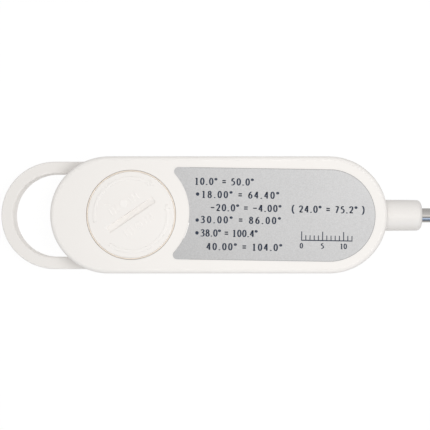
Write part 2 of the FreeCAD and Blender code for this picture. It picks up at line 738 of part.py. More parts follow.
def build_contacts():
    strip = D["contact_strip"]
    rise = D["contact_rise"]
    foot = D["cell_radius"] - D["well_wall"] * 2
    crest = D["contact_width"] / 2
    peak = D["contact_peak"]
    negative = build_contact("negative_contact", [
        (-foot, 0), (-crest, 0), (-peak, rise - strip), (crest, rise - strip),
        (crest * 2, 0), (foot, 0), (foot, strip), (crest * 2 + strip / 2, strip),
        (crest + strip / 2, rise), (-peak - strip / 2, rise),
        (-crest - strip / 2, strip), (-foot, strip),
    ])
    touch = D["cell_radius"] + D["hair_gap"]
    tip = D["contact_tip_rise"]
    root = WELL_OUTER + D["contact_root_gap"]
    end = root + D["contact_width"]
    positive = build_contact("positive_contact", [
        (end, 0), (root, 0), (touch, tip - strip / 2), (touch, tip + strip / 2),
        (touch + strip, tip + strip * 2), (touch + strip * 2, tip + strip * 2),
        (touch + strip, tip), (root + strip / 2, strip), (end, strip),
    ])
    return [negative, positive]


# ---------------------------------------------------------------- board and display


def build_board():
    body = new_body("circuit_board")
    plan = new_sketch(body, "board_plan", z=BOARD_FRONT)
    add_stadium(plan, -BOARD_END_X, BOARD_END_X, BOARD_RADIUS)
    for x, y in boss_places():
        add_circle(plan, x, y, D["screw_radius"] + D["screw_clearance"])
    pad(body, plan, D["board_thickness"])
    return body


def build_chip_blob():
    """The resin dome over the bare chip."""
    body = new_body("chip_blob")
    radius = D["chip_radius"]
    rise = D["chip_height"]
    dome = (radius * radius + rise * rise) / (rise * 2)
    profile = new_sketch(body, "blob_profile", plane="XZ_Plane", x=DISPLAY_X, y=BOARD_BACK)
    add_outline(profile, (0, 0), [(radius, 0), (0, rise, 0, rise - dome, 1), (0, 0)])
    revolve(body, profile)
    return body


def build_board_parts():
    """The crystal and the small parts, in two rows along the back of the board."""
    row_x = BOSS_LEFT_X + D["back_boss_radius"] + D["chip_row_gap"]
    row_y = BOARD_RADIUS - D["chip_row_inset"]
    pitch = D["chip_part_pitch"]
    crystal = doc.addObject("Part::Cylinder", "crystal")
    crystal.Label = "crystal"
    crystal.Placement.Rotation = FreeCAD.Rotation(FreeCAD.Vector(0, 1, 0), 90)
    bind(crystal, "Radius", D["crystal_radius"])
    bind(crystal, "Height", D["crystal_length"])
    place(crystal, row_x + pitch * CAPACITORS, -row_y,
          BOARD_BACK + D["crystal_radius"] + D["hair_gap"])
    half = D["chip_part_length"] / 2
    built = [crystal]
    for kind, y, count in (("resistor", row_y, RESISTORS), ("capacitor", -row_y, CAPACITORS)):
        height = D[kind + "_height"]
        pieces = []
        for index in range(count):
            x = row_x + pitch * index
            pieces.append(block("%s_%d" % (kind, index + 1), x, x + D["chip_part_width"],
                                y - half, y + half, BOARD_BACK, BOARD_BACK + height))
        built.append(group(kind + "s", pieces))
    return built


def build_display():
    """The stack behind the window: frame, films, two glasses, contact strip and pad."""
    x0, x1 = DISPLAY_X - DISPLAY_HALF, DISPLAY_X + DISPLAY_HALF
    y0, y1 = -DISPLAY_HALF_WIDTH, DISPLAY_HALF_WIDTH
    wall = D["frame_wall"]
    base = D["wall"] + D["frame_gap"]

    frame = new_body("display_frame")
    plan = new_sketch(frame, "frame_plan", z=base)
    add_rectangle(plan, x0, x1, y0, y1)
    add_rectangle(plan, x0 + wall, x1 - wall, y0 + wall, y1 - wall)
    pad(frame, plan, BOARD_FRONT - D["frame_gap"] - base)

    gap = D["glass_gap"]
    glass_x0, glass_x1 = x0 + wall + gap, x1 - wall - gap
    glass_y0, glass_y1 = y0 + wall + gap, y1 - wall - gap
    film = D["film_thickness"]
    inset = D["film_inset"]
    glass_z = base + film
    middle = glass_z + D["glass_thickness"]
    glass_back = middle + D["glass_thickness"]
    ledge_y = glass_y1 - D["glass_ledge"]
    films = [
        block("front_polariser", glass_x0 + inset, glass_x1 - inset, glass_y0 + inset,
              ledge_y - inset, base, glass_z),
        block("rear_polariser", glass_x0 + inset, glass_x1 - inset, glass_y0 + inset,
              ledge_y - inset, glass_back, glass_back + film),
    ]
    glasses = [
        block("display_glass_front", glass_x0, glass_x1, glass_y0, glass_y1, glass_z, middle),
        block("display_glass_rear", glass_x0, glass_x1, glass_y0, ledge_y, middle, glass_back),
    ]
    strip = block("contact_strip", glass_x0 + inset, glass_x1 - inset,
                  glass_y1 - D["strip_width"], glass_y1, middle, BOARD_FRONT)
    foam = block("foam_pad", glass_x0 + D["pad_inset"], glass_x1 - D["pad_inset"],
                 glass_y0 + D["pad_inset"], ledge_y - D["pad_inset"],
                 glass_back + film, BOARD_FRONT)
    return [frame] + films + glasses + [strip, foam]


def build_window():
    """The clear window and the adhesive frame that holds it in its seat."""
    fit = D["window_fit"]
    half_length = D["window_length"] / 2 - fit
    half_width = D["window_width"] / 2 - fit
    plate = (DISPLAY_X - half_length, DISPLAY_X + half_length, -half_width, half_width)
    window = rounded_block("display_window", *plate, D["window_recess"], WINDOW_BACK,
                           D["window_corner"])
    tape = new_body("window_tape")
    plan = new_sketch(tape, "tape_plan", z=WINDOW_BACK)
    add_rounded_rectangle(plan, *plate, D["window_corner"])
    border = D["window_border"]
    add_rounded_rectangle(plan, plate[0] + border, plate[1] - border, plate[2] + border,
                          plate[3] - border, D["window_corner"] / 2)
    pad(tape, plan, D["tape_thickness"])
    return [window, tape]


# ---------------------------------------------------------------- keys and switches


def build_key(name, x, y):
    """A round key with a flange behind the wall and a stem to its switch."""
    body = new_body(name + "_key")
    profile = new_sketch(body, name + "_key_profile", plane="XZ_Plane")
    cap = D["key_radius"]
    flange = cap + D["key_flange"]
    flange_low = D["wall"] + D["key_flange_gap"]
    flange_high = flange_low + D["key_flange_height"]
    face = D["key_recess"]
    edge = D["key_edge_radius"]
    add_outline(profile, (0, face), [
        (cap - edge, face), (cap, face + edge, cap - edge, face + edge, 1),
        (cap, flange_low), (flange, flange_low), (flange, flange_high),
        (D["key_stem_radius"], flange_high), (D["key_stem_radius"], KEY_STEM_TOP),
        (0, KEY_STEM_TOP), (0, face),
    ])
    revolve(body, profile)
    place(body, x, y, 0)
    return body


def build_keys_and_switches():
    built = []
    bases, plates = [], []
    half = D["switch_side"] / 2
    plate_top = SWITCH_FACE + D["switch_plate"]
    bore = D["plunger_radius"] + D["plunger_gap"]
    plunger_top = plate_top + D["plunger_height"]
    bore_top = plunger_top + D["key_travel"] + D["plunger_gap"]
    for name, x, y in key_places():
        built.append(build_key(name, x, y))
        plunger = round_bar(name + "_plunger", D["plunger_radius"], x, y, KEY_STEM_TOP,
                            plunger_top)
        plunger.Label = name + "_plunger"
        built.append(plunger)
        plate = block(name + "_plate_blank", x - half, x + half, y - half, y + half,
                      SWITCH_FACE, plate_top)
        plate_hole = round_bar(name + "_plate_hole", bore, x, y, SWITCH_FACE, plate_top)
        plates.append(cut(name + "_switch_plate", plate, plate_hole))
        base = block(name + "_base_blank", x - half, x + half, y - half, y + half,
                     plate_top, BOARD_FRONT)
        base_hole = round_bar(name + "_base_hole", bore, x, y, plate_top, bore_top)
        bases.append(cut(name + "_switch_base", base, base_hole))
    return built + [group("switch_bases", bases), group("switch_plates", plates)]


# ---------------------------------------------------------------- label and screws


def build_label():
    """The label: a half-round end by the probe and a hollow end round the cover."""
    body = new_body("back_label")
    half = END_RADIUS - D["label_margin"]
    hollow = RECESS_RADIUS + D["label_gap"]
    corner = D["label_corner"]
    corner_y = half - corner
    reach = hollow + corner
    corner_dx = (reach * reach - corner_y * corner_y).root()
    corner_x = BATTERY_X + corner_dx
    meet_x = BATTERY_X + corner_dx * hollow / reach
    meet_y = corner_y * hollow / reach
    plan = new_sketch(body, "label_plan", z=BACK_FACE)
    add_outline(plan, (corner_x, -half), [
        (END_X, -half), (END_X, half, END_X, 0, 1),
        (corner_x, half), (meet_x, meet_y, corner_x, corner_y, 1),
        (meet_x, -meet_y, BATTERY_X, 0, -1),
        (corner_x, -half, corner_x, -corner_y, 1),
    ])
    pad(body, plan, D["label_thickness"])
    middle = (BATTERY_X + hollow + END_X + half) / 2
    turn = -D["label_turn"]
    bind(body, "Placement.Rotation.Angle", turn)
    place(body, middle - middle * turn.cosine(), -middle * turn.sine(), 0)
    return body


def build_screws():
    """Four case screws under the label, each with a flat head and a tapping point."""
    screws = []
    for index, (x, y) in enumerate(boss_places(), start=1):
        tip_end = SCREW_SEAT - D["screw_length"]
        tip_start = tip_end + D["screw_tip"]
        head = round_bar("screw_head_%d" % index, D["screw_head_radius"], x, y, SCREW_SEAT,
                         SCREW_SEAT + D["screw_head_height"])
        shank = round_bar("screw_shank_%d" % index, D["screw_radius"], x, y, tip_start,
                          SCREW_SEAT)
        tip = doc.addObject("Part::Cone", "screw_tip_%d" % index)
        bind(tip, "Radius1", D["screw_point_radius"])
        bind(tip, "Radius2", D["screw_radius"])
        bind(tip, "Height", D["screw_tip"])
        place(tip, x, y, tip_end)
        screws.append(join("case_screw_%d" % index, [head, shank, tip]))
    return group("case_screws", screws)


# ---------------------------------------------------------------- probe


def build_collar():
    """The sleeve moulded round the tube's root, with the flange that the shells trap."""
    body = new_body("probe_collar")
    profile = new_sketch(body, "collar_profile", plane="XZ_Plane", y=D["parting_height"])
    root = D["collar_radius"]
    end = root - D["collar_draft"]
    edge = D["collar_edge_radius"]
    flange = D["flange_radius"]
    add_outline(profile, (FLANGE_START, PROBE_ROOT), [
        (COLLAR_END, PROBE_ROOT), (COLLAR_END, end - edge),
        (COLLAR_END - edge, end, COLLAR_END - edge, end - edge, 1),
        (HALF_LENGTH, root), (FLANGE_END, root), (FLANGE_END, flange),
        (FLANGE_START, flange), (FLANGE_START, PROBE_ROOT),
    ])
    revolve(body, profile, axis="H_Axis")
    return body


def build_probe_tube():
    """The steel tube, drawn to a closed point and swaged down where the collar grips it."""
    body = new_body("probe_tube")
    profile = new_sketch(body, "tube_profile", plane="XZ_Plane", y=D["parting_height"])
    outer = D["probe_radius"]
    bore = outer - D["probe_wall"]
    root_bore = PROBE_ROOT - D["probe_wall"]
    tip = D["probe_tip_radius"]
    add_outline(profile, (PROBE_START, root_bore), [
        (COLLAR_END, root_bore), (COLLAR_END + D["swage_depth"] * 2, bore),
        (POINT_START, bore), (POINT_START + bore, 0), (PROBE_TIP, 0),
        (PROBE_TIP - tip, tip, PROBE_TIP - tip, 0, 1), (POINT_START, outer),
        (COLLAR_END, outer), (COLLAR_END, PROBE_ROOT), (PROBE_START, PROBE_ROOT),
        (PROBE_START, root_bore),
    ])
    revolve(body, profile, axis="H_Axis")
    return body


def build_sensor():
    """The bead thermistor near the tip and the resin that fills the tube round it."""
    centre_x = PROBE_TIP - D["sensor_setback"]
    half = D["sensor_length"] / 2
    radius = D["sensor_radius"]
    bead = new_body("thermistor")
    outline = new_sketch(bead, "bead_profile", plane="XZ_Plane", y=D["parting_height"])
    add_outline(outline, (centre_x - half, 0), [
        (centre_x + half, 0), (centre_x + half - radius, radius, centre_x + half - radius, 0, 1),
        (centre_x - half + radius, radius),
        (centre_x - half, 0, centre_x - half + radius, 0, 1),
    ])
    revolve(bead, outline, axis="H_Axis")
    fill = new_body("tip_potting")
    outline = new_sketch(fill, "potting_profile", plane="XZ_Plane", y=D["parting_height"])
    bore = D["probe_radius"] - D["probe_wall"]
    end_x = POINT_START - D["hair_gap"]
    start_x = POINT_START - D["potting_length"]
    add_polygon(outline, [(start_x, 0), (end_x, 0), (end_x, bore), (start_x, bore)])
    revolve(fill, outline, axis="H_Axis")
    hollow = new_sketch(fill, "bead_hollow", plane="XZ_Plane", y=D["parting_height"])
    gap = D["hair_gap"]
    lead_room = D["wire_spacing"] / 2 + D["wire_radius"] + gap
    add_polygon(hollow, [
        (start_x, 0), (centre_x + half + gap, 0), (centre_x + half + gap, radius + gap),
        (centre_x - half - gap, radius + gap), (centre_x - half - gap, lead_room),
        (start_x, lead_room),
    ])
    groove(fill, hollow, axis="H_Axis")
    return [bead, fill]


def build_lead(label, side):
    """One sensor lead: straight down the tube, then in two bends to its pad on the board."""
    level = as_number(D["parting_height"])
    radius = as_number(D["wire_radius"])
    bend = as_number(D["wire_bend_radius"])
    start_x = as_number(PROBE_TIP - D["sensor_setback"] - D["sensor_length"] / 2 - D["hair_gap"])
    tail_x = as_number(PROBE_START)
    pad_x = as_number(BOARD_END_X + BOARD_RADIUS - D["wire_pad_inset"])
    tube_y = side * as_number(D["wire_spacing"]) / 2
    pad_y = side * as_number(D["wire_pad_spacing"]) / 2
    pad_z = as_number(BOARD_BACK) + radius + as_number(D["hair_gap"])
    middle_x = (tail_x + pad_x) / 2
    corners = [
        FreeCAD.Vector(start_x, tube_y, level), FreeCAD.Vector(tail_x, tube_y, level),
        FreeCAD.Vector(middle_x, pad_y, pad_z), FreeCAD.Vector(pad_x, pad_y, pad_z),
    ]
    wire = Part.Wire(rounded_run(corners, bend))
    section = Part.Circle(corners[0], FreeCAD.Vector(1, 0, 0), radius)
    lead = doc.addObject("Part::Feature", label)
    lead.Shape = wire.makePipeShell([Part.Wire(section.toShape())], True, True)
    lead.Placement = FreeCAD.Placement()
    lead.Label = label
    return lead


def rounded_run(corners, bend):
    """Edges of straight runs through the corners, joined by tangent arcs."""
    edges = []
    here = corners[0]
    for before, corner, after in zip(corners, corners[1:], corners[2:]):
        into = (corner - before).normalize()
        out = (after - corner).normalize()
        half_turn = into.getAngle(out) / 2
        reach = bend * math.tan(half_turn)
        arc_start = corner - into * reach
        arc_end = corner + out * reach
        towards = (out - into).normalize()
        centre = corner + towards * (bend / math.cos(half_turn))
        arc_middle = centre - towards * bend
        edges.append(Part.LineSegment(here, arc_start).toShape())
        edges.append(Part.Arc(arc_start, arc_middle, arc_end).toShape())
        here = arc_end
    edges.append(Part.LineSegment(here, corners[-1]).toShape())
    return edges


# ---------------------------------------------------------------- build and export


def build_all():
    parts = [
        build_front_shell(), build_back_shell(), build_battery_cover(), build_cover_seal(),
        build_button_cell(), build_board(), build_chip_blob(), build_label(), build_screws(),
        build_collar(), build_probe_tube(),
        build_lead("sensor_lead_1", 1), build_lead("sensor_lead_2", -1),
    ]
    for several in (build_contacts(), build_board_parts(), build_display(), build_window(),
                    build_keys_and_switches(), build_sensor()):
        parts.extend(several)
    doc.recompute()
    return parts


def check(parts):
    """Stops before anything is written if an object failed or a shape isn't sound."""
    for item in doc.Objects:
        if "Invalid" in item.State or "Error" in item.State:
            raise RuntimeError("%s failed: %s" % (item.Label, item.State))
    for part in parts:
        if part.Shape.isNull() or not part.Shape.isValid() or not part.Shape.Solids:
            raise RuntimeError("%s has no sound solid" % part.Label)


def main():
    parts = build_all()
    check(parts)
    os.makedirs("parts", exist_ok=True)
    for part in parts:
        part.Shape.exportStep("parts/%s.step" % part.Label)
        print("%-22s %2d solids %9.2f mm3" % (part.Label, len(part.Shape.Solids),
                                              part.Shape.Volume))


main()
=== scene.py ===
"""Stem thermometer with a hanging loop: its finishes, its raised and printed marks, the reading
on its display, and the studio round it. Sizes are in millimetres up to the step into metres."""
import math

import bpy
from mathutils import Matrix, Vector


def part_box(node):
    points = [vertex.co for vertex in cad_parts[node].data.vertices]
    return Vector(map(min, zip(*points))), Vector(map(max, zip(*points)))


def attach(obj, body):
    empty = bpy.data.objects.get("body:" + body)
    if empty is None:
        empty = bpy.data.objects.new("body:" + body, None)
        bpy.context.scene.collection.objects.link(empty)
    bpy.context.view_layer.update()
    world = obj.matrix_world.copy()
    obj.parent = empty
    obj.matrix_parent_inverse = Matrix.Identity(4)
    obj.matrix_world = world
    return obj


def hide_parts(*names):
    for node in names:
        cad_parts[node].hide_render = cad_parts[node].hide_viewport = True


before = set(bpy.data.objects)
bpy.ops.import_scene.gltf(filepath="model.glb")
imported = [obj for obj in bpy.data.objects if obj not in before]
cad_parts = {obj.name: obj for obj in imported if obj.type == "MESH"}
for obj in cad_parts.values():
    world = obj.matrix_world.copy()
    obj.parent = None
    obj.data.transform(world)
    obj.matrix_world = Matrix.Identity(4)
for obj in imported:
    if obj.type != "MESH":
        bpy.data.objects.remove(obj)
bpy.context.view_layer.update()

MM = 0.001

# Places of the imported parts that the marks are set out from, in millimetres.
COVER_X = (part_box("battery_cover")[0].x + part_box("battery_cover")[1].x) / 2 / MM
COVER_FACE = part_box("battery_cover")[1].z / MM
BACK_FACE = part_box("back_shell")[1].z / MM
LABEL_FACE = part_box("back_label")[1].z / MM
KEY_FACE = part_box("power_key")[0].z / MM
WINDOW_LOW, WINDOW_HIGH = (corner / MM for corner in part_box("display_window"))
POLARISER_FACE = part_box("front_polariser")[0].z / MM

# The camera: how far above the back, how wide it sees there, what it looks at and where it is.
CAMERA_DISTANCE, VIEW_WIDTH, SENSOR_WIDTH = 277.0, 102.5, 36.0
CAMERA_TARGET = (-0.925, -0.055, BACK_FACE)
CAMERA_PLACE = (-1.4, -5.1, BACK_FACE + CAMERA_DISTANCE)

# The back label: its turn, half its width, the radius of its hollow end round the cover, its
# corners, the middle of its round end, the middle it is turned about and its visible cut edge.
LABEL_TURN = math.radians(-0.9)
LABEL_HALF = 11.0
LABEL_HOLLOW = 13.92
LABEL_CORNER = 1.05
LABEL_END_X = 26.35
LABEL_PIVOT_X = (COVER_X + LABEL_HOLLOW + LABEL_END_X + LABEL_HALF) / 2
LABEL_EDGE = 0.16

# The label's print: its thickness, the face of the film under it and the foot of its plates.
INK = 0.005
FILM_TOP = LABEL_FACE - INK
INK_FOOT = FILM_TOP - 0.01

# The table of matching temperatures: each row's numerals, its start, its end and its foot.
TABLE_HEIGHT = 1.7
TABLE_ROWS = [
    ("10.0° = 50.0°", -5.9, 8.2, 6.83), ("18.00° = 64.40°", -4.2, 14.3, 3.74),
    ("-20.0° = -4.00°", -2.0, 14.9, 0.62), ("( 24.0° = 75.2° )", 17.4, 34.7, 0.58),
    ("30.00° = 86.00°", -4.3, 14.8, -2.27), ("38.0° = 100.4°", -4.3, 9.3, -5.45),
    ("40.00° = 104.0°", -2.8, 15.2, -8.67)]
BULLET_X, BULLET_RADIUS, BULLET_ROWS = -5.15, 0.42, (4.62, -1.58, -4.63)

# The small rule: its first tick, its ticks, its base line and its figures.
RULE_X, RULE_Y = 19.8, -5.9
RULE_TICKS = {"Count": 13, "Pitch": 1.0, "Width": 0.22, "Short": 1.1, "Long": 2.0, "Every": 5}
RULE_LINE, RULE_LINE_Y = 0.24, -6.0
FIGURE_HEIGHT, FIGURE_HALF, FIGURE_Y = 1.3, 0.42, -7.95

# The battery cover: the turn of its coin slot, the height and root of its raised marks, and the
# middle line, width and rise of its two arrows with the start and sweep of each in degrees.
SLOT_TURN = math.radians(34)
RELIEF, MARK_ROOT = 0.11, 0.1
ARROW_RADIUS, ARROW_WIDTH, ARROW_RISE, ARROW_HEAD = 8.75, 0.85, RELIEF * 0.65, 1.0
ARROWS = ((192, -133.5), (234, 137.5))

# The marks beside the slot, each a dot or a ring (True) between bars, with its place along and
# across the slot.
SLOT_MARKS = ((0.0, 3.2, False), (0.15, -3.05, True))
MARK_RADIUS, MARK_HOLE = 0.9, 0.56
MARK_BAR_WIDE, MARK_BAR_HIGH, MARK_BAR_FIRST, MARK_BAR_PITCH = 0.34, 1.9, 0.85, 0.95

# The window's border, outside and inside: width, height and corner radius.
BORDER = ((24.6, 13.0, 1.4), (20.6, 9.2, 0.8))
BORDER_THICKNESS = 0.02

# The reading: its digits and their places, a digit's sizes, how far it leans, the decimal point
# and the degree ring.
DIGITS = (("2", -6.6), ("0", -1.9), ("0", 2.8))
DIGIT_SIZES = {"Height": 5.8, "Wide": 3.0, "Stroke": 0.66, "Thickness": INK * 2}
DIGIT_LEAN = 0.09
POINT = (0.35, -2.75, 0.38)
DEGREE_X, DEGREE_Y, DEGREE_RADII = 6.3, 2.4, (0.66, 0.36)
READING_Y = -0.2

# Turns a drawing over so that it reads on the display side with the probe on the right.
READ_FROM_FRONT = Matrix.Rotation(math.pi, 4, "X")


def node(tree, kind, fed=None, **settings):
    """A node with its settings made and its sockets fed by values or by other sockets."""
    made = tree.nodes.new(kind)
    for name, value in settings.items():
        setattr(made, name, value)
    for socket, value in (fed or {}).items():
        if isinstance(value, bpy.types.NodeSocket):
            tree.links.new(value, made.inputs[socket])
        else:
            made.inputs[socket].default_value = value
    return made


def sums(tree, operation, *values):
    """One Math node's result."""
    return node(tree, "ShaderNodeMath", dict(enumerate(values)), operation=operation).outputs[0]


def blended(tree, share, first, second):
    """Two colours mixed by a share."""
    return node(tree, "ShaderNodeMix", {0: share, 6: first, 7: second},
                data_type="RGBA").outputs[2]


def spread(tree, value, low, high):
    """A 0 to 1 value spread over a range."""
    return node(tree, "ShaderNodeMapRange", {
        "Value": value, "To Min": low, "To Max": high}).outputs["Result"]


def swayed(tree, value, share, base):
    """A base moved up and down by a share of a 0 to 1 noise."""
    return sums(tree, "MULTIPLY_ADD", sums(tree, "SUBTRACT", value, 0.5), share, base)


def noise(tree, where, size, detail=2.0):
    """Soft noise whose blotches are about one size across."""
    return node(tree, "ShaderNodeTexNoise", {
        "Vector": where, "Scale": sums(tree, "DIVIDE", 1.0, size),
        "Detail": detail}).outputs["Fac"]


def new_group(name, takes, gives, kind="ShaderNodeTree"):
    """An empty node group with its named sockets."""
    tree = bpy.data.node_groups.new(name, kind)
    for label, socket, start in takes:
        made = tree.interface.new_socket(label, in_out="INPUT", socket_type="NodeSocket" + socket)
        if start is not None:
            made.default_value = start
    for label, socket in gives:
        tree.interface.new_socket(label, in_out="OUTPUT", socket_type="NodeSocket" + socket)
    given = tree.nodes.new("NodeGroupInput").outputs
    result = tree.nodes.new("NodeGroupOutput").inputs
    return tree, given, result


SKIN_SOCKETS = [("Colour", "Color"), ("Roughness", "Float"), ("Height", "Float")]


def moulded_skin():
    """Moulded plastic: fine eroded grain from the tool, and slow clouds from the flow."""
    tree, given, result = new_group("moulded_skin", [
        ("Where", "Vector", None), ("Colour", "Color", (1, 1, 1, 1)), ("Roughness", "Float", 0.5),
        ("Grain Size", "Float", 0.3 * MM), ("Cloud Size", "Float", 14 * MM),
        ("Cloud Tone", "Float", 0.03)], SKIN_SOCKETS)
    grain = noise(tree, given["Where"], given["Grain Size"], 3.0)
    pits = node(tree, "ShaderNodeTexVoronoi", {
        "Vector": given["Where"],
        "Scale": sums(tree, "DIVIDE", 0.45, given["Grain Size"])}).outputs["Distance"]
    cloud = noise(tree, given["Where"], given["Cloud Size"])
    tone = swayed(tree, cloud, given["Cloud Tone"], 1.0)
    fine = swayed(tree, grain, 0.02, tone)
    toned = node(tree, "ShaderNodeHueSaturation", {"Value": fine, "Color": given["Colour"]})
    uneven = swayed(tree, grain, 0.16, given["Roughness"])
    tree.links.new(toned.outputs["Color"], result["Colour"])
    tree.links.new(swayed(tree, cloud, 0.1, uneven), result["Roughness"])
    tree.links.new(sums(tree, "MULTIPLY_ADD", pits, 0.35, grain), result["Height"])
    return tree


def stray_specks():
    """A few tiny dark specks in the plastic: the colour with the specks in it."""
    tree, given, result = new_group("stray_specks", [
        ("Where", "Vector", None), ("Colour", "Color", (1, 1, 1, 1)),
        ("Speck Colour", "Color", (0.3, 0.27, 0.24, 1)), ("Spacing", "Float", 6 * MM),
        ("Speck Size", "Float", 0.12 * MM), ("Share", "Float", 0.2)], [("Colour", "Color")])
    cell = node(tree, "ShaderNodeTexVoronoi", {
        "Vector": given["Where"], "Scale": sums(tree, "DIVIDE", 1.0, given["Spacing"])})
    reach = sums(tree, "DIVIDE", given["Speck Size"], given["Spacing"])
    picked = node(tree, "ShaderNodeSeparateColor", {"Color": cell.outputs["Color"]})
    chosen = sums(tree, "LESS_THAN", picked.outputs["Red"], given["Share"])
    near = sums(tree, "LESS_THAN", cell.outputs["Distance"], reach)
    weak = sums(tree, "MULTIPLY", picked.outputs["Green"], 0.7)
    mask = sums(tree, "MULTIPLY", sums(tree, "MULTIPLY", chosen, near), weak)
    tree.links.new(blended(tree, mask, given["Colour"], given["Speck Colour"]), result["Colour"])
    return tree


def worked_metal():
    """Drawn, rolled or plated metal: fine lines along one way, with faint cloudy stains."""
    tree, given, result = new_group("worked_metal", [
        ("Where", "Vector", None), ("Colour", "Color", (0.6, 0.6, 0.6, 1)),
        ("Roughness", "Float", 0.25), ("Line Size", "Vector", (MM, MM, MM)),
        ("Stain Size", "Float", 8 * MM), ("Line Tone", "Float", 0.08)], SKIN_SOCKETS)
    stretched = node(tree, "ShaderNodeVectorMath", {0: given["Where"], 1: given["Line Size"]},
                     operation="DIVIDE").outputs["Vector"]
    lines = noise(tree, stretched, 1.0, 4.0)
    stain = noise(tree, given["Where"], given["Stain Size"], 3.0)
    tone = swayed(tree, stain, 0.08, swayed(tree, lines, given["Line Tone"], 1.0))
    toned = node(tree, "ShaderNodeHueSaturation", {"Value": tone, "Color": given["Colour"]})
    uneven = swayed(tree, lines, 0.14, given["Roughness"])
    tree.links.new(toned.outputs["Color"], result["Colour"])
    tree.links.new(swayed(tree, stain, 0.12, uneven), result["Roughness"])
    tree.links.new(lines, result["Height"])
    return tree


MOULDED_SKIN = moulded_skin()
STRAY_SPECKS = stray_specks()
WORKED_METAL = worked_metal()


def start_finish(name, roughness, metallic=0.0, ior=1.5):
    """A material with its Principled shader: the tree, the shader and the place on the part."""
    made = bpy.data.materials.new(name)
    made.use_nodes = True
    tree = made.node_tree
    shader = tree.nodes["Principled BSDF"]
    for label, value in (("Roughness", roughness), ("Metallic", metallic), ("IOR", ior)):
        shader.inputs[label].default_value = value
    return made, tree, shader, tree.nodes.new("ShaderNodeTexCoord").outputs["Object"]


def lay(tree, shader, height=None, depth=0.0, **results):
    """Joins a skin's colour, roughness and height to the shader."""
    for label, socket in results.items():
        tree.links.new(socket, shader.inputs[label.replace("_", " ")])
    if height is not None:
        bump = node(tree, "ShaderNodeBump", {"Strength": 1.0, "Distance": depth,
                                             "Height": height})
        tree.links.new(bump.outputs["Normal"], shader.inputs["Normal"])


def lay_tones(tree, shader, value, depth, first, second, rough, height=None):
    """Joins a colour between two and a roughness between two limits, both by one value."""
    lay(tree, shader, height or value, depth * MM, Roughness=spread(tree, value, *rough),
        Base_Color=blended(tree, value, (*first, 1), (*second, 1)))


def lay_group(tree, shader, group, depth, fed):
    """Places a skin group in a material, joins all that it gives and hands back its colour."""
    skin = node(tree, "ShaderNodeGroup", fed, node_tree=group).outputs
    lay(tree, shader, skin["Height"], depth * MM, Base_Color=skin["Colour"],
        Roughness=skin["Roughness"])
    return skin["Colour"]


def moulded(name, colour, roughness, grain=0.3, cloud=14.0, tone=0.03, depth=0.004, specks=0.0):
    """A moulded plastic finish; sizes in millimetres."""
    made, tree, shader, where = start_finish(name, roughness)
    skin = lay_group(tree, shader, MOULDED_SKIN, depth, {
        "Where": where, "Colour": (*colour, 1), "Roughness": roughness,
        "Grain Size": grain * MM, "Cloud Size": cloud * MM, "Cloud Tone": tone})
    if specks:
        dotted = node(tree, "ShaderNodeGroup", {"Where": where, "Colour": skin, "Share": specks},
                      node_tree=STRAY_SPECKS)
        tree.links.new(dotted.outputs["Colour"], shader.inputs["Base Color"])
    return made


def metal(name, colour, roughness, lines, stain=8.0, tone=0.08, depth=0.0004):
    """A metal finish with its working lines; sizes in millimetres."""
    made, tree, shader, where = start_finish(name, roughness, metallic=1.0)
    lay_group(tree, shader, WORKED_METAL, depth, {
        "Where": where, "Colour": (*colour, 1), "Roughness": roughness,
        "Line Size": [size * MM for size in lines], "Stain Size": stain * MM,
        "Line Tone": tone})
    return made


def clear(name, tint, roughness, ior, wear=0.04):
    """Clear plastic or glass that lets the lamps through, with faint wiping marks."""
    made, tree, shader, where = start_finish(name, roughness, ior=ior)
    shader.inputs["Transmission Weight"].default_value = 1.0
    shader.inputs["Base Color"].default_value = (*tint, 1)
    streaks = node(tree, "ShaderNodeMapping", {"Vector": where, "Scale": (0.25, 1.0, 1.0),
                                               "Rotation": (0, 0, 0.5)}).outputs["Vector"]
    wiped = noise(tree, streaks, 1.2 * MM, 4.0)
    lay(tree, shader, Roughness=spread(tree, wiped, roughness, roughness + wear))
    lamps = node(tree, "ShaderNodeBsdfTransparent", {"Color": (*tint, 1)})
    split = node(tree, "ShaderNodeMixShader", {
        0: node(tree, "ShaderNodeLightPath").outputs["Is Shadow Ray"],
        1: shader.outputs["BSDF"], 2: lamps.outputs["BSDF"]})
    tree.links.new(split.outputs["Shader"], tree.nodes["Material Output"].inputs["Surface"])
    return made


def label_film():
    """The silver label: fine sandy grain and mottle, with painted shade darker to its lower left.
    """
    made, tree, shader, where = start_finish("silver label film", 0.5, metallic=0.35)
    sand = noise(tree, where, 0.26 * MM)
    mottle = noise(tree, where, 0.9 * MM)
    broad = noise(tree, where, 16 * MM, 1.0)
    # Painted shade: a slope in tone, darker towards the lower left and lighter towards the upper
    # right.
    lean = node(tree, "ShaderNodeVectorMath", {0: where, 1: (3.5, 3.8, 0.0)},
                operation="DOT_PRODUCT").outputs["Value"]
    tone = swayed(tree, sand, 0.34, sums(tree, "ADD", lean, 1.0))
    tone = swayed(tree, broad, 0.05, swayed(tree, mottle, 0.08, tone))
    silver = node(tree, "ShaderNodeHueSaturation", {"Value": tone,
                                                    "Color": (0.605, 0.605, 0.607, 1)})
    lay(tree, shader, sand, 0.006 * MM, Base_Color=silver.outputs["Color"],
        Roughness=spread(tree, mottle, 0.42, 0.6))
    return made


def printed_ink(name, colour, roughness=0.5):
    """Printed ink: a little uneven in tone and gloss."""
    made, tree, shader, where = start_finish(name, roughness)
    lay_tones(tree, shader, noise(tree, where, 0.25 * MM, 3.0), 0.001, colour,
              [value * 1.8 + 0.01 for value in colour], (roughness - 0.1, roughness + 0.15))
    return made


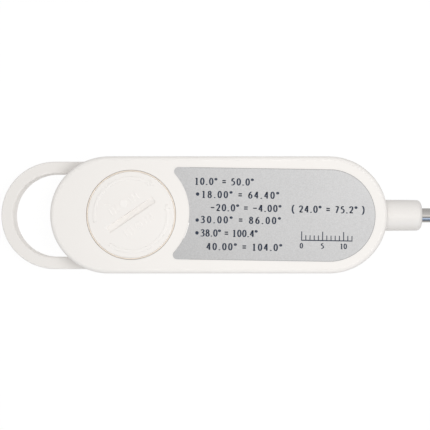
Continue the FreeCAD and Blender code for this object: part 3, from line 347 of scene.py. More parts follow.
def board_lacquer():
    """Circuit board: green lacquer over glass weave, with copper tracks showing as paler lines."""
    made, tree, shader, where = start_finish("green board lacquer", 0.3, ior=1.55)
    weave_across = node(tree, "ShaderNodeTexWave", {"Vector": where, "Scale": 420.0},
                        bands_direction="X").outputs["Fac"]
    weave_along = node(tree, "ShaderNodeTexWave", {"Vector": where, "Scale": 420.0},
                       bands_direction="Y").outputs["Fac"]
    weave = sums(tree, "MULTIPLY", weave_across, weave_along)
    tracks = node(tree, "ShaderNodeTexBrick", {
        "Vector": where, "Scale": 260.0, "Mortar Size": 0.09, "Mortar Smooth": 0.1,
        "Brick Width": 1.7, "Row Height": 0.42, "Color1": (0, 0, 0, 1), "Color2": (0, 0, 0, 1),
        "Mortar": (1, 1, 1, 1)}, offset=0.37, squash=0.6, squash_frequency=3).outputs["Fac"]
    base = blended(tree, weave, (0.010, 0.105, 0.045, 1), (0.016, 0.135, 0.058, 1))
    coloured = blended(tree, tracks, base, (0.035, 0.235, 0.085, 1))
    lay(tree, shader, sums(tree, "MULTIPLY_ADD", tracks, 2.0, weave), 0.012 * MM,
        Base_Color=coloured, Roughness=spread(tree, weave, 0.26, 0.36))
    return made


def striped_rubber():
    """Contact strip: thin dark conducting layers in pale rubber."""
    made, tree, shader, where = start_finish("striped contact rubber", 0.6)
    layers = node(tree, "ShaderNodeTexWave", {"Vector": where, "Scale": 1600.0,
                                              "Distortion": 0.3}, bands_direction="X")
    dark = sums(tree, "GREATER_THAN", layers.outputs["Fac"], 0.5)
    grain = noise(tree, where, 0.1 * MM)
    lay(tree, shader, grain, 0.004 * MM, Base_Color=blended(
        tree, dark, (0.62, 0.55, 0.52, 1), (0.04, 0.04, 0.045, 1)),
        Roughness=spread(tree, grain, 0.5, 0.75))
    return made


def cellular_foam():
    """Open foam: small cells whose mouths are darker, a painted shade in the pores."""
    made, tree, shader, where = start_finish("grey cellular foam", 0.95)
    cells = node(tree, "ShaderNodeTexVoronoi", {"Vector": where, "Scale": 3200.0},
                 feature="SMOOTH_F1").outputs["Distance"]
    # Darkest at each cell's middle: painted shade in the pores.
    lay_tones(tree, shader, cells, 0.08, (0.05, 0.05, 0.055), (0.21, 0.21, 0.22), (0.85, 1.0))
    return made


def reflecting_film():
    """Film behind the display: grey-green, with a fine pearly grain."""
    made, tree, shader, where = start_finish("grey-green display film", 0.4)
    pearl = noise(tree, where, 0.07 * MM)
    broad = noise(tree, where, 9 * MM, 1.0)
    shade = sums(tree, "MULTIPLY_ADD", broad, 0.25, sums(tree, "MULTIPLY", pearl, 0.75))
    lay(tree, shader, pearl, 0.003 * MM, Base_Color=blended(
        tree, shade, (0.47, 0.52, 0.43, 1), (0.60, 0.64, 0.54, 1)),
        Roughness=spread(tree, pearl, 0.3, 0.5))
    return made


def ceramic(name, colour, mark):
    """Small ceramic chip parts: a speckled body with a paler printed band."""
    made, tree, shader, where = start_finish(name, 0.45)
    speckle = noise(tree, where, 0.12 * MM, 4.0)
    band = node(tree, "ShaderNodeTexWave", {"Vector": where, "Scale": 120.0},
                bands_direction="X").outputs["Fac"]
    mask = sums(tree, "GREATER_THAN", band, 0.82)
    body = blended(tree, speckle, (*colour, 1), (*[value * 1.5 for value in colour], 1))
    lay(tree, shader, speckle, 0.006 * MM, Base_Color=blended(tree, mask, body, (*mark, 1)),
        Roughness=spread(tree, speckle, 0.35, 0.6))
    return made


def poured(name, colour, roughness=0.18, dimple=1.4):
    """Poured or dipped resin: glossy, with soft dimples and a few trapped bubbles."""
    made, tree, shader, where = start_finish(name, roughness, ior=1.55)
    swell = noise(tree, where, dimple * MM)
    bubbles = node(tree, "ShaderNodeTexVoronoi", {"Vector": where, "Scale": 900.0},
                   feature="SMOOTH_F1").outputs["Distance"]
    pocks = sums(tree, "LESS_THAN", bubbles, 0.12)
    lay_tones(tree, shader, swell, 0.12, colour, [value * 1.6 for value in colour],
              (roughness, roughness + 0.15), sums(tree, "MULTIPLY_ADD", pocks, -0.3, swell))
    return made


WARM_WHITE = (0.888, 0.862, 0.834)
FINISHES = {
    "shell_plastic": moulded("white housing plastic", WARM_WHITE, 0.5, specks=0.1),
    "cover_plastic": moulded("white cover plastic", (0.886, 0.859, 0.831), 0.5, grain=0.24,
                             specks=0.05),
    # Paler than the cover plastic: a painted highlight for the cover's raised marks and pips, with
    # a lower roughness.
    "painted_highlight_plastic": moulded("white plastic with painted highlight", (0.912, 0.886, 0.860), 0.34,
                              grain=0.24),
    "collar_plastic": moulded("white collar plastic", (0.85, 0.825, 0.80), 0.36, grain=0.2,
                              cloud=5.0),
    "key_plastic": moulded("blue-grey key plastic", (0.13, 0.19, 0.26), 0.42, grain=0.15,
                           cloud=2.5, tone=0.12),
    "switch_plastic": moulded("black switch plastic", (0.03, 0.03, 0.032), 0.5, grain=0.12,
                              cloud=2.0, tone=0.3),
    "frame_plastic": moulded("grey frame plastic", (0.30, 0.30, 0.31), 0.55, grain=0.2,
                             cloud=5.0, tone=0.1),
    "seal_rubber": moulded("tan seal rubber", (0.95, 0.85, 0.74), 0.72, grain=0.08, cloud=3.0,
                           tone=0.14),
    "label_foil": label_film(),
    "probe_steel": metal("polished probe steel", (0.62, 0.605, 0.59), 0.13,
                         lines=(30.0, 0.05, 0.05), stain=22.0, tone=0.06, depth=0.00012),
    "screw_steel": metal("zinc screw steel", (0.55, 0.55, 0.53), 0.32, lines=(0.2, 0.2, 0.06),
                         stain=1.2),
    "can_steel": metal("nickel can steel", (0.66, 0.65, 0.62), 0.24, lines=(3.0, 0.06, 3.0),
                       stain=4.0),
    "contact_metal": metal("spring contact metal", (0.72, 0.66, 0.52), 0.28,
                           lines=(4.0, 0.05, 4.0), stain=3.0),
    "switch_metal": metal("switch plate metal", (0.60, 0.60, 0.58), 0.3, lines=(0.05, 2.0, 2.0),
                          stain=2.0),
    "window_clear": clear("clear window plastic", (0.97, 0.98, 0.98), 0.02, 1.49),
    "display_glass": clear("display glass", (0.95, 0.97, 0.95), 0.0, 1.52, 0.02),
    "polariser_film": reflecting_film(),
    "strip_rubber": striped_rubber(),
    "foam": cellular_foam(),
    "tape_black": moulded("black mounting tape", (0.025, 0.025, 0.028), 0.7, grain=0.1,
                          cloud=2.0, tone=0.3, depth=0.006),
    "board_laminate": board_lacquer(),
    "chip_resin": poured("black chip resin", (0.012, 0.012, 0.014)),
    "component_black": ceramic("black resistor ceramic", (0.02, 0.02, 0.022), (0.6, 0.6, 0.58)),
    "component_tan": ceramic("tan capacitor ceramic", (0.33, 0.22, 0.13), (0.6, 0.6, 0.58)),
    "wire_enamel": poured("amber wire enamel", (0.42, 0.13, 0.025), 0.2, 0.8),
    "bead_resin": poured("black bead resin", (0.02, 0.018, 0.018), 0.3, 0.5),
    "potting_resin": poured("cream potting resin", (0.55, 0.47, 0.33), 0.4, 0.9),
}
INKS = {
    "navy": printed_ink("navy label ink", (0.012, 0.02, 0.038)),
    "edge": printed_ink("grey label edge", (0.30, 0.30, 0.30)),
    "liner": printed_ink("white liner edge", (0.80, 0.78, 0.76)),
    "key": printed_ink("white key ink", (0.42, 0.42, 0.41)),
    "segment": printed_ink("dark display segment", (0.018, 0.022, 0.022), 0.4),
    "border": printed_ink("grey window border", (0.25, 0.26, 0.27), 0.5),
}

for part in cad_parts.values():
    for slot in part.material_slots:
        slot.material = FINISHES[slot.material.name]


# --- Making and placing pieces ---

def settle(name, mesh, finish, body):
    """Turns a mesh in millimetres into a finished piece that rides on a body."""
    mesh.name = name
    mesh.transform(Matrix.Scale(MM, 4))
    mesh.materials.clear()
    mesh.materials.append(finish)
    piece = bpy.data.objects.new(name, mesh)
    bpy.context.scene.collection.objects.link(piece)
    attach(piece, body)
    return piece


def baked(maker):
    """The plain mesh that a maker object grows into; the maker is then removed."""
    bpy.context.scene.collection.objects.link(maker)
    seen = maker.evaluated_get(bpy.context.evaluated_depsgraph_get())
    mesh = bpy.data.meshes.new_from_object(seen)
    bpy.data.objects.remove(maker)
    return mesh


def plate(outlines, low, high, rounding=0.0):
    """A flat plate of closed outlines, an inner one being a hole, from low to high."""
    curve = bpy.data.curves.new("plate", "CURVE")
    curve.dimensions, curve.fill_mode = "2D", "BOTH"
    curve.extrude = (high - low) / 2 - rounding
    curve.bevel_depth, curve.bevel_resolution = rounding, 2
    curve.offset = -rounding
    for outline in outlines:
        spline = curve.splines.new("POLY")
        spline.points.add(len(outline) - 1)
        for point, (x, y) in zip(spline.points, outline):
            point.co = (x, y, 0, 1)
        spline.use_cyclic_u = True
    mesh = baked(bpy.data.objects.new("maker", curve))
    mesh.transform(Matrix.Translation((0, 0, (low + high) / 2)))
    return mesh


def arc(x, y, radius, start, end, steps):
    """Points along an arc, with its angles in degrees."""
    angles = [math.radians(start + (end - start) * step / steps) for step in range(steps + 1)]
    return [(x + radius * math.cos(a), y + radius * math.sin(a)) for a in angles]


def disc(x, y, radius, sides=36):
    """The outline of a round dot."""
    return arc(x, y, radius, 0, 360 - 360 / sides, sides - 1)


def oblong(x, y, wide, high):
    """The outline of a rectangle round its middle."""
    return [(x + side * wide / 2, y + end * high / 2)
            for side, end in ((-1, -1), (1, -1), (1, 1), (-1, 1))]


def joined(meshes):
    """Several meshes as one."""
    points, faces = [], []
    for mesh in meshes:
        first = len(points)
        points += [vertex.co.copy() for vertex in mesh.vertices]
        faces += [[first + index for index in face.vertices] for face in mesh.polygons]
    whole = bpy.data.meshes.new("joined")
    whole.from_pydata(points, [], faces)
    whole.update()
    return whole


def label_outline():
    """The label's outline before it is turned."""
    reach, corner_y = LABEL_HOLLOW + LABEL_CORNER, LABEL_HALF - LABEL_CORNER
    corner_x = COVER_X + math.sqrt(reach ** 2 - corner_y ** 2)
    lean = math.degrees(math.atan2(corner_y, corner_x - COVER_X))
    return (arc(LABEL_END_X, 0, LABEL_HALF, -90, 90, 64)
            + arc(corner_x, corner_y, LABEL_CORNER, 90, 180 + lean, 16)
            + arc(COVER_X, 0, LABEL_HOLLOW, lean, -lean, 48)[1:-1]
            + arc(corner_x, -corner_y, LABEL_CORNER, 180 - lean, 270, 16))


def turn_on_label(mesh):
    """Turns a mesh with the label, which sits slightly askew."""
    pivot = Matrix.Translation((LABEL_PIVOT_X, 0, 0))
    mesh.transform(pivot @ Matrix.Rotation(LABEL_TURN, 4, "Z") @ pivot.inverted())
    return mesh


# Pen lines of the numerals, in a box one high. A line is open, or closed where it is an oval,
# given as (x, y, half width, half height).
PEN_LINES = {
    "0": [(0.29, 0.5, 0.21, 0.46)],
    "1": [[(0.30, 0.03), (0.30, 0.97)], [(0.30, 0.94), (0.22, 0.88), (0.12, 0.85)],
          [(0.13, 0.035), (0.47, 0.035)]],
    "2": [[(0.08, 0.74), (0.12, 0.88), (0.27, 0.955), (0.42, 0.88), (0.45, 0.72)],
          [(0.45, 0.74), (0.40, 0.52), (0.10, 0.08)], [(0.07, 0.06), (0.51, 0.06)],
          [(0.07, 0.11), (0.51, 0.11)]],
    "3": [[(0.10, 0.82), (0.18, 0.93), (0.30, 0.965), (0.43, 0.88), (0.44, 0.74), (0.34, 0.60),
           (0.20, 0.54)], [(0.20, 0.54), (0.38, 0.50), (0.48, 0.34), (0.44, 0.14),
                           (0.28, 0.035), (0.12, 0.05), (0.06, 0.10)]],
    "4": [[(0.36, 0.95), (0.05, 0.30)], [(0.05, 0.29), (0.54, 0.29)],
          [(0.39, 0.03), (0.39, 0.97)]],
    "5": [[(0.17, 0.94), (0.46, 0.94)], [(0.17, 0.90), (0.46, 0.90)],
          [(0.17, 0.94), (0.12, 0.58)], [(0.12, 0.57), (0.28, 0.60), (0.44, 0.50), (0.48, 0.32),
                                         (0.40, 0.13), (0.24, 0.035), (0.07, 0.07)]],
    "6": [[(0.47, 0.955), (0.30, 0.85), (0.15, 0.62), (0.09, 0.34)], (0.29, 0.31, 0.20, 0.275)],
    "7": [[(0.08, 0.94), (0.49, 0.94)], [(0.08, 0.90), (0.49, 0.90)],
          [(0.49, 0.92), (0.20, 0.03)]],
    "8": [(0.28, 0.735, 0.16, 0.215), (0.28, 0.27, 0.20, 0.25)],
    ".": [(0.12, 0.06, 0.02, 0.02)],
    "=": [[(0.04, 0.33), (0.54, 0.33)], [(0.04, 0.39), (0.54, 0.39)], [(0.04, 0.61), (0.54, 0.61)],
          [(0.04, 0.67), (0.54, 0.67)]],
    "-": [[(0.02, 0.46), (0.54, 0.46)], [(0.02, 0.51), (0.54, 0.51)]],
    "°": [(0.15, 0.82, 0.11, 0.13)],
    "(": [[(0.27, 1.06), (0.12, 0.82), (0.06, 0.45), (0.12, 0.10), (0.27, -0.16)]],
    ")": [[(0.06, 1.06), (0.21, 0.82), (0.27, 0.45), (0.21, 0.10), (0.06, -0.16)]],
    " ": [],
}
# How far the pen moves on after a numeral and after each narrower sign, and its half widths.
PEN_STEP = 0.62
PEN_STEPS = {".": 0.30, "°": 0.36, "(": 0.36, ")": 0.36, " ": 0.32}
PEN_STEM, PEN_HAIR = 0.11, 0.055


def pen_edges(run, closed):
    """The two edges of a pen line, thick where it goes up and thin where it goes across."""
    edges = ([], [])
    last = len(run) - 1
    for index, (x, y) in enumerate(run):
        before = run[index - 1 if index or closed else 0]
        after = run[(index + 1) % len(run) if index < last or closed else last]
        nx, ny = after[1] - before[1], before[0] - after[0]
        long = math.hypot(PEN_STEM * nx, PEN_HAIR * ny)
        dx, dy = PEN_STEM ** 2 * nx / long, PEN_HAIR ** 2 * ny / long
        edges[0].append((x + dx, y + dy))
        edges[1].append((x - dx, y - dy))
    return edges


def smooth_run(points, steps=5):
    """Points along a smooth line through the given ones."""
    if len(points) == 2:
        return points
    run = []
    for index in range(len(points) - 1):
        four = [points[max(0, min(len(points) - 1, index + offset))] for offset in (-1, 0, 1, 2)]
        for step in range(steps):
            t = step / steps
            run.append(tuple(0.5 * (2 * b + (c - a) * t + (2 * a - 5 * b + 4 * c - d) * t ** 2
                                    + (3 * b - a - 3 * c + d) * t ** 3)
                             for a, b, c, d in zip(*four)))
    return run + [points[-1]]


def pen_outlines(line):
    """The outlines that a pen line fills: a ring or dot for an oval, else a stroke."""
    if isinstance(line, list):
        one, other = pen_edges(smooth_run(line), False)
        return [one + other[::-1]]
    x, y, wide, high = line
    around = [math.tau * step / 32 for step in range(32)]
    outer, inner = pen_edges([(x + wide * math.cos(a), y + high * math.sin(a))
                              for a in around], True)
    return [outer] if wide < PEN_STEM / 2 else [outer, inner]


def numerals(text, height, start, end, y):
    """Plain numerals printed on the label, spread between two places along a line."""
    widths = [PEN_STEPS.get(sign, PEN_STEP) * height for sign in text]
    extra = (end - start - sum(widths)) / (len(text) - 1)
    plates = []
    x = start
    for sign, width in zip(text, widths):
        for line in PEN_LINES[sign]:
            placed = [[(x + px * height, y + py * height) for px, py in outline]
                      for outline in pen_outlines(line)]
            plates.append(plate(placed, INK_FOOT, LABEL_FACE))
        x += width + extra
    return joined(plates)


# --- Geometry Nodes ---

def grown(tree, material, sizes):
    """Runs a Geometry Nodes tree once with its sizes and gives the plain mesh, in millimetres."""
    maker = bpy.data.objects.new("maker", bpy.data.meshes.new("maker"))
    modifier = maker.modifiers.new("grow", "NODES")
    modifier.node_group = tree
    sockets = {item.name: item.identifier for item in tree.interface.items_tree
               if item.item_type == "SOCKET" and item.in_out == "INPUT"}
    for label, value in {**sizes, "Finish": material}.items():
        modifier[sockets[label]] = value
    return baked(maker)


def growing(name, *sizes):
    """A Geometry Nodes group with number inputs and a finish; closing() ends it."""
    return new_group(name, [*sizes, ("Finish", "Material", None)], [("Mesh", "Geometry")],
                     "GeometryNodeTree")


def closing(tree, given, result, shape):
    """Realises the instances, sets the finish and ends the tree."""
    real = node(tree, "GeometryNodeRealizeInstances", {"Geometry": shape})
    done = node(tree, "GeometryNodeSetMaterial", {"Geometry": real.outputs[0],
                                                  "Material": given["Finish"]})
    tree.links.new(done.outputs[0], result["Mesh"])
    return tree


def place_at(tree, x=0.0, y=0.0, z=0.0):
    """Three numbers or sockets as one vector."""
    return node(tree, "ShaderNodeCombineXYZ", {"X": x, "Y": y, "Z": z}).outputs[0]


def curved_arrow():
    """A low rounded ridge along an arc, with a flat pointed head at its end."""
    tree, given, result = growing(
        "curved_arrow", ("Radius", "Float", 8.75), ("Start", "Float", 0.0),
        ("Sweep", "Float", 1.0), ("Width", "Float", 0.8), ("Rise", "Float", 0.07),
        ("Head Size", "Float", 1.0))
    path = node(tree, "GeometryNodeCurveArc", {
        "Resolution": 96, "Radius": given["Radius"], "Start Angle": given["Start"],
        "Sweep Angle": given["Sweep"]}, mode="RADIUS")
    section = node(tree, "GeometryNodeCurvePrimitiveCircle", {
        "Resolution": 16, "Radius": sums(tree, "DIVIDE", given["Width"], 2.0)}, mode="RADIUS")
    ridge = node(tree, "GeometryNodeCurveToMesh", {
        "Curve": path.outputs["Curve"], "Profile Curve": section.outputs["Curve"],
        "Fill Caps": True})
    tall = sums(tree, "MULTIPLY", given["Rise"], 2.0)
    flat = sums(tree, "DIVIDE", tall, given["Width"])
    low_ridge = node(tree, "GeometryNodeTransform", {
        "Geometry": ridge.outputs[0], "Scale": place_at(tree, 1.0, 1.0, flat)})
    head = node(tree, "GeometryNodeMeshCone", {
        "Vertices": 3, "Radius Top": sums(tree, "MULTIPLY", given["Head Size"], 0.8),
        "Radius Bottom": given["Head Size"], "Depth": tall})
    end = sums(tree, "ADD", given["Start"], given["Sweep"])
    way = sums(tree, "MULTIPLY", sums(tree, "SIGN", given["Sweep"]), math.pi / 2)
    spot = place_at(tree, sums(tree, "MULTIPLY", sums(tree, "COSINE", end), given["Radius"]),
                    sums(tree, "MULTIPLY", sums(tree, "SINE", end), given["Radius"]),
                    sums(tree, "MULTIPLY", given["Rise"], -1.0))
    turned = node(tree, "GeometryNodeTransform", {
        "Geometry": head.outputs["Mesh"], "Translation": spot,
        "Rotation": place_at(tree, 0.0, 0.0, sums(tree, "ADD", end, way))})
    both = node(tree, "GeometryNodeJoinGeometry")
    tree.links.new(low_ridge.outputs[0], both.inputs[0])
    tree.links.new(turned.outputs[0], both.inputs[0])
    return closing(tree, given, result, both.outputs[0])


def repeated_bars():
    """A row of upright bars, every so many of them longer, such as the ticks of a scale."""
    tree, given, result = growing(
        "repeated_bars", ("Count", "Int", 11), ("Pitch", "Float", 1.0), ("Width", "Float", 0.15),
        ("Short", "Float", 0.8), ("Long", "Float", 1.4), ("Every", "Int", 5),
        ("Thickness", "Float", 0.005))
    row = node(tree, "GeometryNodeMeshLine", {
        "Count": given["Count"], "Offset": place_at(tree, given["Pitch"])}, mode="OFFSET")
    bar = node(tree, "GeometryNodeMeshCube", {
        "Size": place_at(tree, given["Width"], 1.0, given["Thickness"])})
    hung = node(tree, "GeometryNodeTransform", {"Geometry": bar.outputs["Mesh"],
                                                "Translation": (0, 0.5, 0)})
    index = node(tree, "GeometryNodeInputIndex").outputs[0]
    is_long = sums(tree, "LESS_THAN", sums(tree, "MODULO", index, given["Every"]), 0.5)
    extra = sums(tree, "SUBTRACT", given["Long"], given["Short"])
    height = sums(tree, "MULTIPLY_ADD", is_long, extra, given["Short"])
    bars = node(tree, "GeometryNodeInstanceOnPoints", {
        "Points": row.outputs["Mesh"], "Instance": hung.outputs[0],
        "Scale": place_at(tree, 1.0, height, 1.0)})
    return closing(tree, given, result, bars.outputs[0])


# Which of the seven bars of a digit are lit, from the top bar clockwise and the middle last.
LIT_BARS = {"0": "1111110", "2": "1101101"}


def seven_bar_digit():
    """One display digit: up to seven bars with pointed ends, pulled out of six-sided discs."""
    switches = [("Bar %d" % number, "Bool", True) for number in range(1, 8)]
    tree, given, result = growing("seven_bar_digit", ("Height", "Float", 7.0),
                                  ("Wide", "Float", 3.6), ("Stroke", "Float", 0.75),
                                  ("Thickness", "Float", 0.01), *switches)
    stroke = given["Stroke"]
    half = sums(tree, "DIVIDE", given["Height"], 2.0)
    quarter = sums(tree, "DIVIDE", given["Height"], 4.0)
    right = sums(tree, "DIVIDE", given["Wide"], 2.0)
    low, down, left = (sums(tree, "MULTIPLY", side, -1.0) for side in (half, quarter, right))

    blank = node(tree, "GeometryNodeMeshCylinder", {"Vertices": 6, "Radius": 1.0,
                                                    "Depth": given["Thickness"]})
    x, y, z = node(tree, "ShaderNodeSeparateXYZ", {
        0: node(tree, "GeometryNodeInputPosition").outputs[0]}).outputs
    is_tip = sums(tree, "GREATER_THAN", sums(tree, "ABSOLUTE", x), 0.9)
    past_end = sums(tree, "MULTIPLY", sums(tree, "MULTIPLY_ADD", is_tip, 0.5, -0.62), stroke)
    across = sums(tree, "MULTIPLY", y, sums(tree, "DIVIDE", stroke, math.sqrt(3)))

    def bar(space, gap):
        """A bar along X in a space, shorter than it by a gap given in strokes."""
        length = sums(tree, "SUBTRACT", space, sums(tree, "MULTIPLY", stroke, gap))
        reach = sums(tree, "MULTIPLY_ADD", length, 0.5, past_end)
        return node(tree, "GeometryNodeSetPosition", {
            "Geometry": blank.outputs["Mesh"],
            "Position": place_at(tree, sums(tree, "MULTIPLY", sums(tree, "SIGN", x), reach),
                                 across, z)}).outputs[0]

    level, upright = bar(given["Wide"], 1.05), bar(half, 0.21)
    spots = [(level, 0.0, half), (upright, right, quarter), (upright, right, down),
             (level, 0.0, low), (upright, left, down), (upright, left, quarter),
             (level, 0.0, 0.0)]
    lit = node(tree, "GeometryNodeJoinGeometry")
    for number, (shape, aside, above) in enumerate(spots, start=1):
        put = node(tree, "GeometryNodeTransform", {
            "Geometry": shape, "Translation": place_at(tree, aside, above),
            "Rotation": (0, 0, math.pi / 2 if shape == upright else 0)})
        shown = node(tree, "GeometryNodeSwitch", {"Switch": given["Bar %d" % number]},
                     input_type="GEOMETRY")
        tree.links.new(put.outputs[0], shown.inputs["True"])
        tree.links.new(shown.outputs[0], lit.inputs[0])
    return closing(tree, given, result, lit.outputs[0])


# --- The marks on the cover ---

def raised(outlines, rounding):
    """A low mark with softened edges that stands on the cover, drawn round its middle."""
    return plate(outlines, COVER_FACE - MARK_ROOT, COVER_FACE + RELIEF, rounding)


def mark_cover():
    """Two curved arrows, a dot and a ring between bars beside the slot, and two small pips."""
    tree = curved_arrow()
    cover_middle = Matrix.Translation((COVER_X, 0, 0))
    arrows = joined([grown(tree, FINISHES["cover_plastic"], {
        "Radius": ARROW_RADIUS, "Start": math.radians(start), "Sweep": math.radians(sweep),
        "Width": ARROW_WIDTH, "Rise": ARROW_RISE, "Head Size": ARROW_HEAD})
        for start, sweep in ARROWS])
    arrows.transform(cover_middle @ Matrix.Translation((0, 0, COVER_FACE)))
    arrows.shade_smooth()
    settle("cover_arrows", arrows, FINISHES["cover_plastic"], "cover")

    marks = []
    for along, across, hollow in SLOT_MARKS:
        rounds = [disc(along, across, radius)
                  for radius in ((MARK_RADIUS, MARK_HOLE) if hollow else (MARK_RADIUS,))]
        marks.append(raised(rounds, 0.04))
        for side in (-1, 1):
            for number in (1, 2, 3):
                x = along + side * (MARK_BAR_FIRST + MARK_BAR_PITCH * number)
                marks.append(raised([oblong(x, across, MARK_BAR_WIDE, MARK_BAR_HIGH)], 0.04))
    marks = joined(marks)
    marks.transform(cover_middle @ Matrix.Rotation(SLOT_TURN, 4, "Z"))
    # The marks are paler than the cover: a painted highlight on their raised strokes.
    settle("cover_marks", marks, FINISHES["painted_highlight_plastic"], "cover")

    crescent = arc(-5.8, 3.25, 0.95, -132, -48, 16) + arc(-5.8, 3.1, 0.62, -48, -132, 16)
    pips = joined([raised([shape], 0.05) for shape in (disc(-6.0, -3.1, 0.42), crescent)])
    pips.transform(cover_middle)
    # The pips are paler too: a painted highlight.
    settle("cover_pips", pips, FINISHES["painted_highlight_plastic"], "cover")


# --- The label and its print ---

def stick(name, mesh, finish):
    """Settles a piece of the label, turned with it."""
    return settle(name, turn_on_label(mesh), finish, "handle")


def label_rule():
    """The small rule: its ticks, its base line and a figure at every long tick."""
    thick = LABEL_FACE - INK_FOOT
    ticks = grown(repeated_bars(), INKS["navy"], {**RULE_TICKS, "Thickness": thick})
    ticks.transform(Matrix.Translation((RULE_X, RULE_Y, LABEL_FACE - thick / 2)))
    length = RULE_TICKS["Pitch"] * (RULE_TICKS["Count"] - 1)
    line = plate([oblong(RULE_X + length / 2, RULE_LINE_Y, length + RULE_TICKS["Width"],
                         RULE_LINE)], INK_FOOT, LABEL_FACE)
    pieces = [ticks, line]
    for text in ("0", "5", "10"):
        middle, half = RULE_X + RULE_TICKS["Pitch"] * int(text), FIGURE_HALF * len(text)
        pieces.append(numerals(text + " ", FIGURE_HEIGHT, middle - half, middle + half + 0.5,
                               FIGURE_Y))
    return pieces


def print_label():
    """The film, its cut edge, the table of matching temperatures, the rule and the liner."""
    film = stick("label_film", plate([label_outline()], BACK_FACE, FILM_TOP, 0.02),
                 FINISHES["label_foil"])
    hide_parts("back_label")

    outer, inner = LABEL_HALF, LABEL_HALF - LABEL_EDGE
    tails = [(COVER_X + LABEL_HOLLOW, y) for y in (outer, inner, -inner, -outer)]
    edge = (arc(LABEL_END_X, 0, outer, -90, 90, 64) + tails[:2]
            + arc(LABEL_END_X, 0, inner, 90, -90, 64) + tails[2:])
    stick("label_edge", plate([edge], INK_FOOT, FILM_TOP + INK / 2), INKS["edge"])

    printed = [numerals(text, TABLE_HEIGHT, start, end, y) for text, start, end, y in TABLE_ROWS]
    printed += [plate([disc(BULLET_X, y, BULLET_RADIUS, 30)], INK_FOOT, LABEL_FACE)
                for y in BULLET_ROWS]
    stick("label_numbers", joined(printed + label_rule()), INKS["navy"])

    sliver = (arc(COVER_X, 0, LABEL_HOLLOW + 0.02, -9, -26, 20)
              + arc(COVER_X + 0.14, 0.1, LABEL_HOLLOW + 0.03, -25, -10, 20))
    stick("label_liner", plate([sliver], INK_FOOT, LABEL_FACE), INKS["liner"])


# --- The display face ---

def rounded_oblong(x, wide, high, radius):
    """The outline of a rectangle with round corners, its middle on the part's middle line."""
    corners = ((1, -1, -90), (1, 1, 0), (-1, 1, 90), (-1, -1, 180))
    return [point for side, end, start in corners
            for point in arc(x + side * (wide / 2 - radius), end * (high / 2 - radius), radius,
                             start, start + 90, 10)]


def dress_display():
    """The window's printed border and the reading on the display's front film."""
    middle_x = (WINDOW_LOW.x + WINDOW_HIGH.x) / 2
    border = plate([rounded_oblong(middle_x, *sizes) for sizes in BORDER], WINDOW_HIGH.z,
                   WINDOW_HIGH.z + BORDER_THICKNESS)
    settle("window_border", border, INKS["border"], "handle")

    tree = seven_bar_digit()
    lean = Matrix(((1, DIGIT_LEAN, 0, 0), (0, 1, 0, 0), (0, 0, 1, 0), (0, 0, 0, 1)))
    parts = []
    for text, x in DIGITS:
        lit = {"Bar %d" % (number + 1): bar == "1"
               for number, bar in enumerate(LIT_BARS[text])}
        digit = grown(tree, INKS["segment"], {**DIGIT_SIZES, **lit})
        digit.transform(Matrix.Translation((x, 0, 0)) @ lean)
        parts.append(digit)
    parts.append(plate([disc(*POINT, 24)], -INK, INK))
    parts.append(plate([disc(DEGREE_X, DEGREE_Y, radius, 30) for radius in DEGREE_RADII],
                       -INK, INK))
    reading = joined(parts)
    reading.transform(Matrix.Translation((middle_x, READING_Y, POLARISER_FACE))
                      @ READ_FROM_FRONT)
    settle("display_reading", reading, INKS["segment"], "handle")


def mark_keys():
    """One generic sign on each key: on and off, hold, memory and unit."""
    signs = {
        "power": [[disc(0, 0, 1.05), disc(0, 0, 0.8)], [oblong(0, 0, 0.24, 1.0)]],
        "hold": [[oblong(-0.4, 0, 0.3, 1.7)], [oblong(0.4, 0, 0.3, 1.7)]],
        "memory": [[[(-0.95, -0.65), (0.95, -0.65), (0, 0.95)]]],
        "unit": [[disc(0, 0, 0.62), disc(0, 0, 0.36)]],
    }
    for name, shapes in signs.items():
        low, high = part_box(name + "_key")
        middle = (low + high) / 2 / MM
        sign = joined([plate(outlines, -0.02, 0.01) for outlines in shapes])
        sign.transform(Matrix.Translation((middle.x, middle.y, KEY_FACE)) @ READ_FROM_FRONT)
        settle(name + "_sign", sign, INKS["key"], name)


# --- Studio ---

def aim(thing, target):
    """Points a lamp or the camera at a target with its top towards +Y."""
    back = (thing.location - Vector(target)).normalized()
    right = Vector((0, 1, 0)).cross(back).normalized()
    turned = Matrix((right, back.cross(right), back)).transposed()
    thing.rotation_mode = "QUATERNION"
    thing.rotation_quaternion = turned.to_quaternion()


def set_camera():
    """Square over the back of the handle, a little below its middle line."""
    data = bpy.data.cameras.new("camera")
    data.sensor_width = SENSOR_WIDTH
    data.lens = SENSOR_WIDTH * CAMERA_DISTANCE / VIEW_WIDTH
    data.clip_start, data.clip_end = 0.01, 20.0
    camera = bpy.data.objects.new("camera", data)
    bpy.context.scene.collection.objects.link(camera)
    camera.location = Vector(CAMERA_PLACE) * MM
    aim(camera, Vector(CAMERA_TARGET) * MM)
    bpy.context.scene.camera = camera


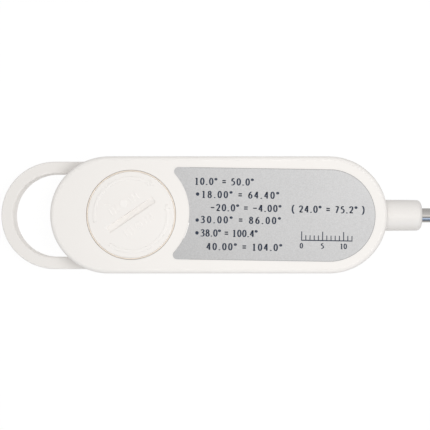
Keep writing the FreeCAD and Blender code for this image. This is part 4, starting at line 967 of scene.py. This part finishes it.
def set_floor():
    """A plain white floor that the thermometer lies on; seen from below it is clear."""
    mesh = bpy.data.meshes.new("floor")
    reach, level = 3.0, -0.02 * MM
    mesh.from_pydata([(x, y, level) for x, y in oblong(0, 0, reach * 2, reach * 2)], [],
                     [(0, 1, 2, 3)])
    floor = bpy.data.objects.new("floor", mesh)
    bpy.context.scene.collection.objects.link(floor)
    made = bpy.data.materials.new("white floor")
    made.use_nodes = True
    tree = made.node_tree
    tree.nodes.remove(tree.nodes["Principled BSDF"])
    shadowed = node(tree, "ShaderNodeBsdfDiffuse", {"Color": (0.95, 0.95, 0.95, 1)})
    glowing = node(tree, "ShaderNodeEmission", {"Color": (1, 1, 1, 1), "Strength": 1.03})
    white = node(tree, "ShaderNodeMixShader", {0: 0.90, 1: shadowed.outputs[0],
                                               2: glowing.outputs[0]})
    under = node(tree, "ShaderNodeBsdfTransparent")
    either = node(tree, "ShaderNodeMixShader", {
        0: node(tree, "ShaderNodeNewGeometry").outputs["Backfacing"], 1: white.outputs[0],
        2: under.outputs[0]})
    tree.links.new(either.outputs[0], tree.nodes["Material Output"].inputs["Surface"])
    mesh.materials.append(made)
    floor.visible_diffuse = floor.visible_glossy = False
    floor.visible_transmission = floor.visible_shadow = False


# What the metal mirrors, by the angle from straight up towards the near side, in degrees.
STUDIO_BANDS = [
    (-180, (0.90, 0.90, 0.90)), (-121, (0.56, 0.55, 0.545)), (-74, (0.59, 0.58, 0.575)),
    (-22, (0.75, 0.74, 0.73)), (2, (0.96, 0.93, 0.91)), (10, (1.16, 1.12, 1.08)),
    (22, (0.80, 0.78, 0.76)), (34, (0.34, 0.36, 0.40)), (47, (0.34, 0.38, 0.44)),
    (56, (0.98, 1.20, 1.60)), (62, (0.98, 1.20, 1.60)), (70, (0.17, 0.26, 0.42)),
    (99, (0.27, 0.28, 0.30)), (130, (0.66, 0.65, 0.63)), (180, (0.90, 0.90, 0.90))]

# How bright the plastics find the world above and below the part.
LEVEL_ABOVE, LEVEL_BELOW = 0.60, 0.66

# Each lamp: its place, width, depth, power and colour, in metres and watts.
LAMPS = {
    "overhead_softbox": ((0.022, -0.002, 0.165), 0.08, 0.08, 0.112, (1.0, 0.998, 0.992)),
    "near_strip": ((0.05, -0.75, 0.42), 1.0, 0.12, 0.22, (0.86, 0.93, 1.0)),
    "under_softbox": ((0.03, 0.05, -0.50), 0.5, 0.4, 0.76, (1.0, 0.998, 0.992)),
}


def set_world():
    """White to the eye, an even grey to the plastics and soft bands to the metal."""
    world = bpy.data.worlds.new("studio")
    bpy.context.scene.world = world
    world.use_nodes = True
    tree = world.node_tree
    tree.nodes.clear()
    way = node(tree, "ShaderNodeSeparateXYZ", {
        0: node(tree, "ShaderNodeTexCoord").outputs["Generated"]})
    towards = sums(tree, "MULTIPLY", way.outputs["Y"], -1.0)
    angle = sums(tree, "ARCTAN2", towards, way.outputs["Z"])
    around = sums(tree, "MULTIPLY_ADD", angle, 0.5 / math.pi, 0.5)
    bands = node(tree, "ShaderNodeValToRGB", {"Fac": around})
    ramp = bands.color_ramp
    for place in range(len(STUDIO_BANDS) - 2):
        ramp.elements.new((place + 1) / len(STUDIO_BANDS))
    for element, (degrees, colour) in zip(ramp.elements, STUDIO_BANDS):
        element.position = degrees / 360 + 0.5
        element.color = (*colour, 1)
    mirrored = node(tree, "ShaderNodeBackground", {"Color": bands.outputs["Color"]})
    below = sums(tree, "LESS_THAN", way.outputs["Z"], 0.0)
    level = spread(tree, below, LEVEL_ABOVE, LEVEL_BELOW)
    even = node(tree, "ShaderNodeBackground", {"Color": (1.0, 0.995, 0.99, 1),
                                               "Strength": level})
    seen = node(tree, "ShaderNodeBackground", {"Color": (1, 1, 1, 1)})
    path = node(tree, "ShaderNodeLightPath")
    shiny = sums(tree, "MAXIMUM", path.outputs["Is Glossy Ray"],
                 path.outputs["Is Transmission Ray"])
    lit = node(tree, "ShaderNodeMixShader", {0: shiny, 1: even.outputs[0],
                                             2: mirrored.outputs[0]})
    whole = node(tree, "ShaderNodeMixShader", {0: path.outputs["Is Camera Ray"],
                                               1: lit.outputs[0], 2: seen.outputs[0]})
    out = node(tree, "ShaderNodeOutputWorld")
    tree.links.new(whole.outputs[0], out.inputs["Surface"])


def set_lamp(name, place, wide, deep, power, colour):
    """One soft rectangular lamp aimed at the handle."""
    data = bpy.data.lights.new(name, "AREA")
    data.shape, data.size, data.size_y = "RECTANGLE", wide, deep
    data.energy, data.color = power, colour
    lamp = bpy.data.objects.new(name, data)
    bpy.context.scene.collection.objects.link(lamp)
    lamp.location = place
    aim(lamp, (0.01, 0, 0))
    lamp.visible_glossy = lamp.visible_camera = False


def set_studio():
    """The camera, the floor, the world and the lamps."""
    bpy.context.scene.view_settings.view_transform = "Standard"
    set_camera()
    set_floor()
    set_world()
    for name, (place, wide, deep, power, colour) in LAMPS.items():
        set_lamp(name, place, wide, deep, power, colour)


set_studio()
mark_cover()
print_label()
dress_display()
mark_keys()
